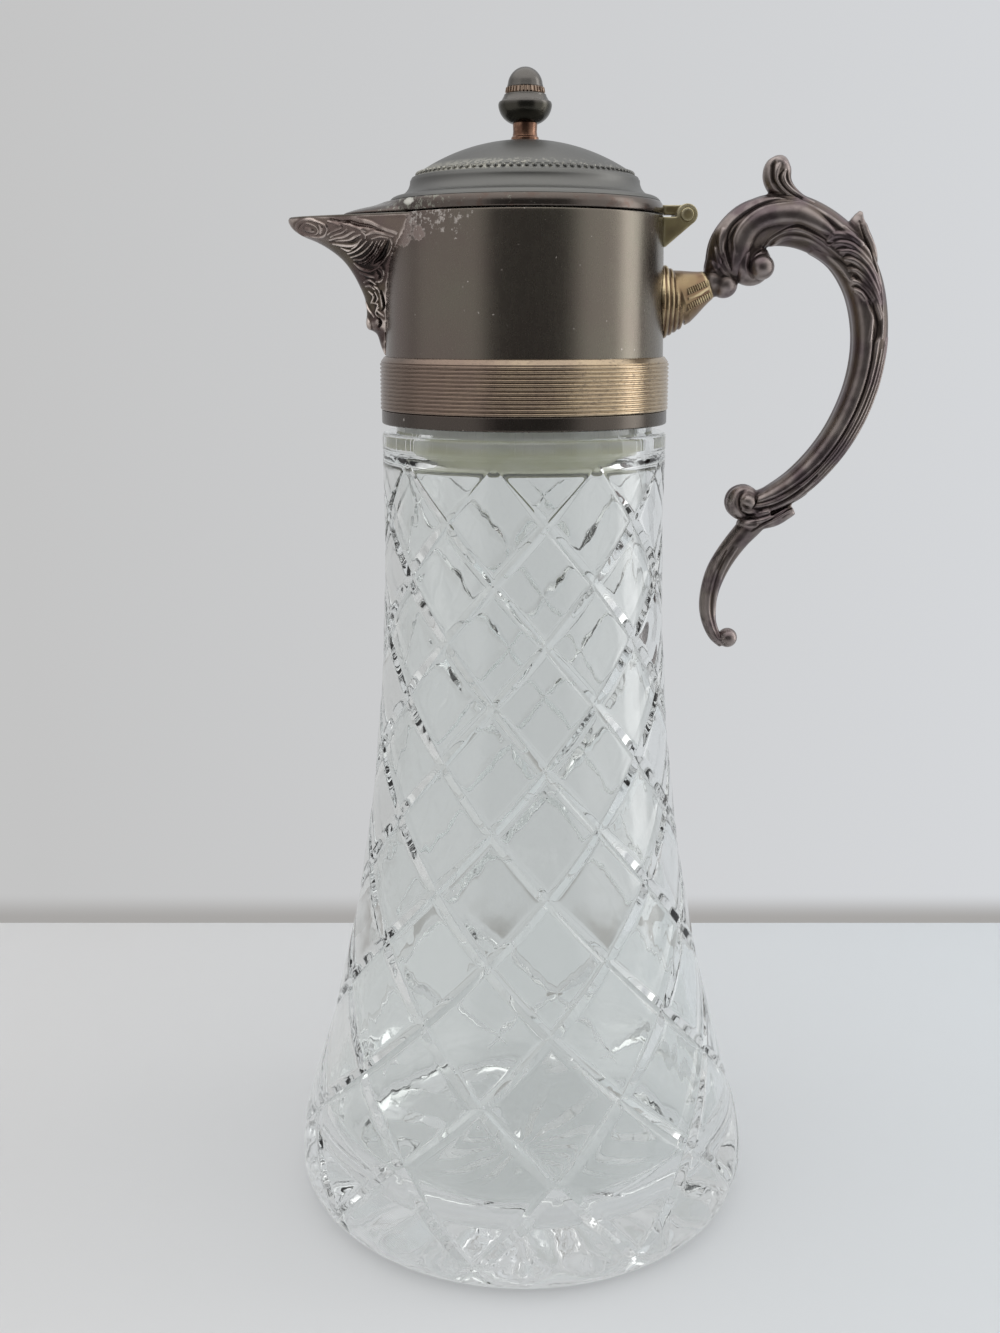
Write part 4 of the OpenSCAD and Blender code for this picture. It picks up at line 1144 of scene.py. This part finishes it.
# Free lines on the handle's cheek, written like those of the spout
handleRelief = [
    # the outer roll and the strands that run into the root
    [(46.7, 254.2, 2.5, 0.7), (47.5, 258.6, 2.6, 0.9), (49.8, 262.7, 2.5, 0.9), (53.5, 266.1, 2.2, 0.85),
     (57.6, 268.2, 1.5, 0.7), (61.4, 269.1, 1, 0.5), (67, 268.9, 0.8, 0.4), (75.5, 264.9),
     (83.9, 258.6, 0.75, 0.3)],
    [(49.9, 261.9, 0.4, 0.3), (49.1, 259.4, 0.62, 0.5), (49.5, 256.4, 0.7, 0.55), (50.6, 253.6, 0.65, 0.5),
     (52.2, 251.2, 0.4, 0.2)],
    [(48, 257.4, 0.4, 0.3), (48.5, 254.8, 0.65, 0.55), (49.7, 252.6, 0.65, 0.45), (51.4, 250.8, 0.4, 0.2)],
    [(47.1, 254.4, 0.4, 0.2), (47.9, 252.6, 0.5, 0.4), (49.2, 251.2, 0.5, 0.2)],
    [(51.7, 252.5, 0.3, -0.3), (50.6, 256, 0.45, -0.7), (50.3, 259.4), (51.4, 262.3),
     (54, 264.9, 0.4, -0.7), (57.7, 267.3, 0.35, -0.6), (61.4, 268.7, 0.3, -0.5), (65.2, 269.2, 0.3, -0.4),
     (68.1, 269.2, 0.3, -0.3)],
    # the broad roll, from the upper volute to the leaf
    [(57.6, 249.4, 1.4, 0.1), (55.4, 250.6, 2, 0.4), (54.1, 252.6, 2.4, 0.8), (53.9, 255.3, 2.5, 1),
     (54.1, 258.6, 2.7, 1), (55.3, 261.9), (57.9, 264.4), (61.2, 265.6), (64.8, 266), (68.2, 265.8, 2.6, 1),
     (71.2, 264.6, 2.3, 0.9), (73.8, 263, 1.7, 0.7), (76.2, 261.4, 0.9, 0.4)],
    [(52.6, 256.4, 0.35, 0.15), (51.9, 259.4, 0.45, 0.25), (53.1, 262.3, 0.5, 0.25), (55.9, 265.2),
     (59.2, 267.2), (63.7, 268.2, 0.45, 0.25), (68.1, 268.5, 0.4, 0.15)],
    [(59.5, 257.6, 0.3, -0.3), (60.5, 259.2, 0.4, -0.6), (62.3, 260.8, 0.4, -0.7), (64.8, 262.1),
     (67.4, 262.8), (69.6, 262.2), (72.7, 260.8, 0.4, -0.6), (74.9, 259.5, 0.3, -0.4)],
    [(58.9, 256.4, 0.4, 0.3), (60.3, 258.8, 0.6, 0.45), (62.5, 260.8, 0.7, 0.5), (65.6, 261.9, 0.75, 0.5),
     (69.4, 261.5), (72.7, 259.9, 0.7, 0.5), (75.9, 257.7, 0.6, 0.4), (78.7, 255.5, 0.4, 0.3)],
    [(61.2, 257.1, 0.5, 0.3), (63, 259.1, 0.75, 0.5), (65.6, 260.3, 0.85, 0.5), (70.1, 259.8, 0.9, 0.5),
     (73.2, 258.3), (76.2, 256, 0.85, 0.5), (79.2, 253.3, 0.7, 0.4), (81.7, 250.1, 0.4, 0.3)],
    [(59.6, 257.4, 0.4, -0.3), (57.6, 256.8, 0.8, -0.7), (56.4, 255.2, 0.9, -0.9), (56.1, 253.2, 0.8, -0.8),
     (56.4, 251.6, 0.6, -0.4), (57.4, 250.4, 0.3, -0.2)],
    # the leaf's lobes, the notches between them, and the smooth strip that runs down from its tip
    [(75.3, 259.2, 0.5, 0.3), (76.5, 260.5, 0.8, 0.6), (78.8, 260.8, 0.95, 0.6), (81.9, 259.9),
     (85.1, 257.7, 0.85, 0.6), (87.4, 254.9, 0.65, 0.6), (88.9, 251.6, 0.4, 0.3)],
    [(76.6, 258.4, 0.4, 0.25), (78.5, 258.8, 0.7, 0.5), (81.3, 258.3, 0.8, 0.5), (84, 256.4),
     (86.5, 253.8, 0.7, 0.5), (88.4, 250.5, 0.5, 0.5), (89.6, 247.9, 0.3, 0.25)],
    [(78.7, 256.6, 0.4, 0.3), (80.6, 256.8, 0.75, 0.6), (83.3, 255.7, 0.85, 0.6), (85.8, 253.4, 0.8, 0.6),
     (87.7, 250.5, 0.7, 0.6), (89.2, 247.1, 0.45, 0.3)],
    [(79.9, 254.7, 0.4, 0.3), (81.8, 254.6, 0.75, 0.6), (84.2, 253.1, 0.85, 0.6), (86.3, 250.5, 0.8, 0.6),
     (88.3, 247.1, 0.65, 0.6), (89.6, 244.1, 0.4, 0.3)],
    [(81.2, 252.3, 0.4, 0.3), (83.1, 252, 0.75, 0.6), (85.2, 250.1, 0.85, 0.6), (87.3, 247.5, 0.8, 0.6),
     (89, 244.1, 0.6, 0.6), (90.2, 241.1, 0.35, 0.3)],
    [(82.3, 249.7, 0.4, 0.3), (84.1, 249.2, 0.75, 0.6), (86.1, 247.1, 0.85, 0.6), (88, 244.5, 0.75, 0.6),
     (89.8, 240.7, 0.5, 0.3)],
    [(83.2, 247.5, 0.4, 0.3), (84.8, 246.4, 0.7, 0.6), (86.5, 244.1, 0.8, 0.6), (87.6, 241.1, 0.75, 0.6),
     (87.6, 238.1, 0.6, 0.6), (87.3, 235, 0.4, 0.3)],
    [(74.9, 259.2, 0.3, -0.3), (75.5, 258.6, 0.45, -0.6), (76.6, 258.8, 0.25, -0.3)],
    [(77.5, 257.3, 0.3, -0.4), (78.6, 257.6, 0.5, -0.7), (80.5, 257.6, 0.3, -0.5), (82.1, 257, 0.2, -0.2)],
    [(79.5, 255.5, 0.3, -0.4), (80.4, 255.9, 0.5, -0.7), (81.8, 255.7, 0.3, -0.5),
     (83.4, 254.7, 0.2, -0.2)],
    [(80.8, 253.3, 0.3, -0.4), (81.5, 253.4, 0.5, -0.7), (83.1, 252.7, 0.3, -0.5),
     (84.5, 251.4, 0.2, -0.2)],
    [(81.9, 250.8, 0.3, -0.4), (82.5, 250.8, 0.5, -0.7), (84, 249.7, 0.3, -0.5), (85.7, 247.9, 0.2, -0.2)],
    [(82.6, 248.6, 0.3, -0.4), (83.3, 248.4, 0.5, -0.7), (84.8, 247.3, 0.3, -0.5),
     (86.2, 245.2, 0.2, -0.2)],
    [(85.9, 244.9, 0.4, -0.4), (88, 241.9, 0.8, -0.7), (89.1, 238.8, 1.1, -0.8), (89.1, 236.2, 0.9, -0.8),
     (88.6, 234.7, 0.4, -0.4)],
    [(79.3, 262.8, 0.4, 0.3), (82.3, 260.8, 0.5, 0.4), (85.5, 257.9, 0.55, 0.4), (87.6, 254.2, 0.5, 0.4),
     (89.3, 249.7, 0.45, 0.4), (90.1, 244.9, 0.4, 0.35), (90.5, 240), (90.5, 235.8, 0.35, 0.3)],
    [(81.2, 264.6, 0.4, 0.2), (82.4, 265.7, 0.7, 0.35), (83.4, 266, 0.5, 0.3)],
    [(84.1, 265.7, 0.4, 0.3), (85, 263.6, 0.5, 0.45), (86.1, 261), (87.7, 258.1), (89.1, 254.7, 0.5, 0.4)],
    [(83.6, 264.2, 0.2, -0.3), (84.3, 261.9, 0.32, -0.8), (85.6, 258.8, 0.35, -0.9), (87, 255.6),
     (88.4, 251.8, 0.25, -0.6)],
    # the curl
    [(63, 277.8, 0.5, 0.3), (62.3, 276.4, 0.7, 0.55), (62, 274.9, 0.75, 0.6), (62.4, 273.5, 0.7, 0.6),
     (63.7, 271.9, 0.6, 0.5), (65.5, 270.5, 0.5, 0.4), (68.1, 269.3, 0.4, 0.3)],
    [(62, 278.5, 0.4, -0.3), (61.3, 277.1, 0.6, -0.7), (61.3, 275.2, 0.65, -0.8), (61.8, 273.3, 0.6, -0.7),
     (63, 271.9, 0.45, -0.5), (64.8, 270.6, 0.3, -0.3)],
    [(63.8, 276.1, 0.3, -0.4), (63.1, 274.9, 0.45, -0.7), (63.2, 273.8), (64.2, 272.4),
     (66, 270.9, 0.4, -0.6), (68.8, 269.5, 0.3, -0.4)],
    [(64.4, 276.1, 0.4, 0.3), (64, 274.7, 0.6, 0.5), (64.4, 273.3), (66, 271.7, 0.55, 0.45),
     (68.5, 270.1, 0.5, 0.4), (71.8, 268.6, 0.4, 0.3)],
    [(64.8, 276.1, 0.3, -0.3), (65, 274.5, 0.4, -0.6), (65.7, 273.1, 0.35, -0.5), (67.2, 271.8, 0.3, -0.4),
     (70, 270.2, 0.3, -0.3)],
    [(59.8, 277.1, 0.6, 0.2), (61, 278.5, 1, 0.4), (62.4, 278.9, 1, 0.45), (63.9, 278.2, 0.8, 0.3)],
    [(60.1, 270.5, 0.4, -0.4), (62.6, 270, 0.45, -0.6), (65.6, 269.3, 0.4, -0.5), (68.8, 268.6, 0.3, -0.3)],
    [(60.5, 272.1, 0.5, 0.1), (61.8, 272.1, 1.2, 0.3), (62.8, 271.4, 0.5, 0.1)],
    # the lower volute and the strands that run into its eye
    [(60.4, 196.8, 0.8, 0.3), (58.5, 197.8, 1.2, 0.5), (56.5, 198.1, 1.5, 0.6), (54.7, 197.1, 1.7, 0.7),
     (53.9, 195, 1.8, 0.75), (54.1, 192.4), (55.5, 190, 1.6, 0.6), (57.6, 188.5, 1.2, 0.5),
     (60.5, 188, 0.8, 0.3)],
    [(58, 197.2, 0.3, -0.2), (56.5, 196.4, 0.4, -0.4), (55.7, 194.7, 0.5, -0.5), (56.2, 192.4),
     (57.7, 190.8, 0.5, -0.6), (60.2, 190, 0.45, -0.6), (63, 190.4, 0.45, -0.7), (66.6, 191.7, 0.4, -0.7),
     (70.4, 194, 0.3, -0.4)],
    [(60.4, 195.5, 0.3, -0.4), (60.3, 194, 0.35, -0.7), (59.9, 192.4), (62.7, 192.5), (66, 193.6),
     (69.5, 195.5), (72.8, 198.1, 0.35, -0.6), (76, 201.2, 0.3, -0.5)],
    [(60.8, 193.8, 0.3, -0.4), (63.1, 194.5, 0.4, -0.7), (66.4, 195.9, 0.4, -0.8), (69.7, 198),
     (72.9, 200.7, 0.4, -0.7), (75.9, 203.5, 0.35, -0.6)],
    [(60.5, 193.2, 0.4, 0.3), (63.4, 193.6, 0.5, 0.45), (66.7, 194.9, 0.55, 0.5), (70.2, 197.1),
     (73.5, 199.8, 0.5, 0.45)],
    [(56.7, 192, 0.4, 0.3), (58.8, 191.4, 0.55, 0.45), (61.4, 191.2, 0.6, 0.5), (64.5, 191.9),
     (68.3, 193.7), (71.6, 196, 0.55, 0.45), (74.8, 199.1, 0.5, 0.4)],
    [(57.6, 189.5, 0.5, 0.3), (60.7, 189.1, 0.6, 0.45), (64.3, 189.9, 0.6, 0.5), (67.9, 191.6, 0.55, 0.45),
     (70.9, 193.7, 0.5, 0.4), (73.6, 196, 0.45, 0.35)],
    [(56.9, 194.6, 0.5, 0.2), (58, 194.7, 1.4, 0.5), (59, 194), (58.7, 193.2, 0.6, 0.2)],
    [(57, 193.5, 0.3, -0.3), (57.8, 193, 0.45, -0.5), (58.7, 192.8, 0.3, -0.3)],
    [(56.6, 194.7, 0.3, -0.2), (57.3, 195.6, 0.3, -0.3), (58.4, 196), (59.4, 195.4, 0.3, -0.2)],
    # the spur's torn end, and the tail
    [(59.5, 186.6, 0.3, -0.3), (62.1, 188.1, 0.4, -0.6), (65.4, 189.9, 0.4, -0.7),
     (68.7, 191.9, 0.35, -0.6), (70.7, 192.8, 0.25, -0.3)],
    [(61.6, 187.3, 0.4, 0.3), (64.6, 189.1, 0.6, 0.5), (67.7, 190.8, 0.7, 0.55), (70.2, 191.7, 0.6, 0.5)],
    [(67.4, 190, 0.25, -0.3), (69.2, 191.1, 0.35, -0.5), (71, 191.6, 0.3, -0.5)],
    [(68.6, 192.4, 0.2, -0.2), (69.9, 192.5, 0.3, -0.4), (71.1, 192.7)],
    [(55, 182.4, 0.3, -0.2), (53, 179, 0.45, -0.5), (51.2, 175, 0.6, -0.6), (50.2, 170.5, 0.7, -0.6),
     (49.9, 165.7, 0.65, -0.6), (50.7, 161.4, 0.5, -0.5), (52.4, 157.6, 0.35, -0.3)],
    [(53.8, 180.1, 0.2, 0.2), (52.5, 177.4, 0.3, 0.35), (51.6, 174.8, 0.2, 0.2)],
    [(53.3, 181.3, 0.2, -0.3), (52.2, 179, 0.25, -0.4), (51, 176.4, 0.2, -0.3)],
    [(56, 181.9, 0.3, 0.2), (53.8, 178.2, 0.45, 0.35), (52.1, 174.2), (51.1, 170), (51.1, 165.1, 0.4, 0.3),
     (51.9, 161.6, 0.3, 0.2)],
]


def sweptBar(name, stations, sides, thin=1.0, deep=1.0):
    line = smoothLine(stations, 8)
    rings = []
    for i, (x, z, t, d) in enumerate(line):
        ahead, back = line[min(i + 1, len(line) - 1)], line[max(i - 1, 0)]
        way = Vector((ahead - back)[:2]).normalized()
        ring = []
        for j in range(sides):
            a = 2 * math.pi * j / sides
            out = t * thin * math.cos(a)
            ring.append((x + way.y * out, d * deep * math.sin(a), z - way.x * out))
        rings.append(ring)
    return loft(name, rings)


def onArm(lines):  # from (station, across, ...) to (x, z, ...)
    steps = 20
    spine = smoothLine(handleArm, steps)
    laid = []
    for line in lines:
        on = []
        for s, across, width, height in smoothLine(filledIn(line), 4):
            i = min(max(int(s * steps), 1), len(spine) - 2)
            x, z, thick = spine[i][:3]
            way = Vector((spine[i + 1] - spine[i - 1])[:2]).normalized()
            out = across * thick
            on.append((x - way.y * out, z + way.x * out, width, height))
        laid.append(on)
    return laid


def ball(x, z, r, half):  # flattened, or two half balls drawn apart
    bpy.ops.mesh.primitive_ico_sphere_add(subdivisions=4, radius=mm, location=(x * mm, 0, z * mm))
    made = bpy.context.object
    made.scale = (r, min(r, half), r)
    bpy.ops.object.transform_apply()
    for corner in made.data.vertices:
        corner.co.y += math.copysign(max(half - r, 0) * mm, corner.co.y)
    return made


def makeHandle():
    handle = castAsOne("scrollHandle", [
        sweptBar("arm", handleArm, 32, 0.98, 0.9),
        sweptBar("tail", handleTail, 24, 0.97, 0.97),
        sweptBar("curl", handleCurl, 24, 1.0, 0.92),
        sweptBar("leafTip", handleLeafTip, 20),
        sweptBar("spur", handleSpur, 20),
    ] + [ball(*disc) for disc in handleDiscs], voxel=0.27, passes=8)
    carved(handle, onArm(armRelief) + handleRelief, fine=0.6, deep=0.6)
    tilt = math.radians(handleRoot["tilt"])
    root = Vector((handleRoot["x"], 0, handleRoot["z"])) * mm
    square = [(-8, -8), (8, -8), (8, 8), (-8, 8)]
    tool = loft("rootCut", [[(x, y, z) for x, y in square] for z in (-16, 0)])  # trims the root flat
    tool.rotation_euler = (0, math.radians(90) - tilt, 0)
    tool.location = root
    bpy.ops.object.transform_apply()
    cut(handle, tool)
    handle = joined("scrollHandle", [handle] + [ball(*spot) for spot in handleBalls])
    markRelief(handle, passes=22, depth=0.18)
    print("handle:", len(handle.data.polygons), "faces")
    finish = castFinish("handleTarnish", (40, 33, 31), (102, 90, 92), (96, 86, 80), (196, 184, 180),
                        rough=0.33, wear=0.5, metallic=0.95, pits=0.005)
    finished(handle, "jug", "antique_casting", finish.owner, "handle", angle=70)

    boss = copyOf("handle_boss")
    bars = []
    for start, end, count, half in bossBars["rows"]:
        start, end = Vector(start), Vector(end)
        across = (end - start).normalized().orthogonal() * half
        for i in range(count):
            spot = start.lerp(end, i / (count - 1))
            low, high = spot - across, spot + across
            bars.append([(*low, bossBars["endR"]), (*spot, bossBars["r"]), (*high, bossBars["endR"])])
    bars = bothSides(laidOn(boss, bars, sink=0.1))
    ridges = bothSides(laidOn(boss, [bossBars["ridge"]], sink=0.6))
    boss = castAsOne("handleBoss", [boss, tubes("bossRidge", ridges, 2)], voxel=0.2, passes=1)
    boss = markRelief(joined("handleBoss", [boss, tubes("bossBars", bars, 2)]))
    gilt = castFinish("wornBrass", (80, 60, 46), (146, 126, 96), (132, 106, 84), (232, 214, 172),
                      rough=0.3, wear=0.8, metallic=0.9)
    x, y, z = (axis * 1000 for axis in gilt.place())
    tone = gilt.mix((1 - z.between(237.5, 246.5)) * 0.6, gilt.tone(), srgb(96, 74, 66))
    # painted shade: the gaps between the bars of each row are darkened
    barGapShade = 1 - gilt.attribute("relief").between(0.3, 0.7)
    for (x0, z0), (x1, z1), count, half in bossBars["rows"]:
        slope = (z1 - z0) / (x1 - x0)
        off = z - x * slope - (z0 - x0 * slope)
        row = (1 - off.math("ABSOLUTE", off).between(half, half + 0.25)) * x.between(40.2, 40.8)
        tone = gilt.mix(row * barGapShade * 0.85, tone, srgb(58, 42, 34))
    gilt.set(baseColor=tone)
    finished(boss, "jug", "worn_brass", gilt.owner, "handle_boss", angle=70)


def dressFasteners():
    brass = plainMetal("turnedBrass", (190, 165, 110), (165, 140, 90), 0.3)
    for name in ("finial_stud", "finial_washer", "finial_nut", "handle_screw", "handle_washer"):
        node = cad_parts[name]
        node.data.materials.clear()
        node.data.materials.append(brass)


setCamera()
setLightPaths()
setTable()
setWall()
setLight()
print("stage ready")
makeGlass()
makeCollar()
print("glass and collar ready")
makeSpout()
makeHinge()
makeLid()
print("spout, hinge and lid ready")
makeHandle()
dressFasteners()
print("handle ready")
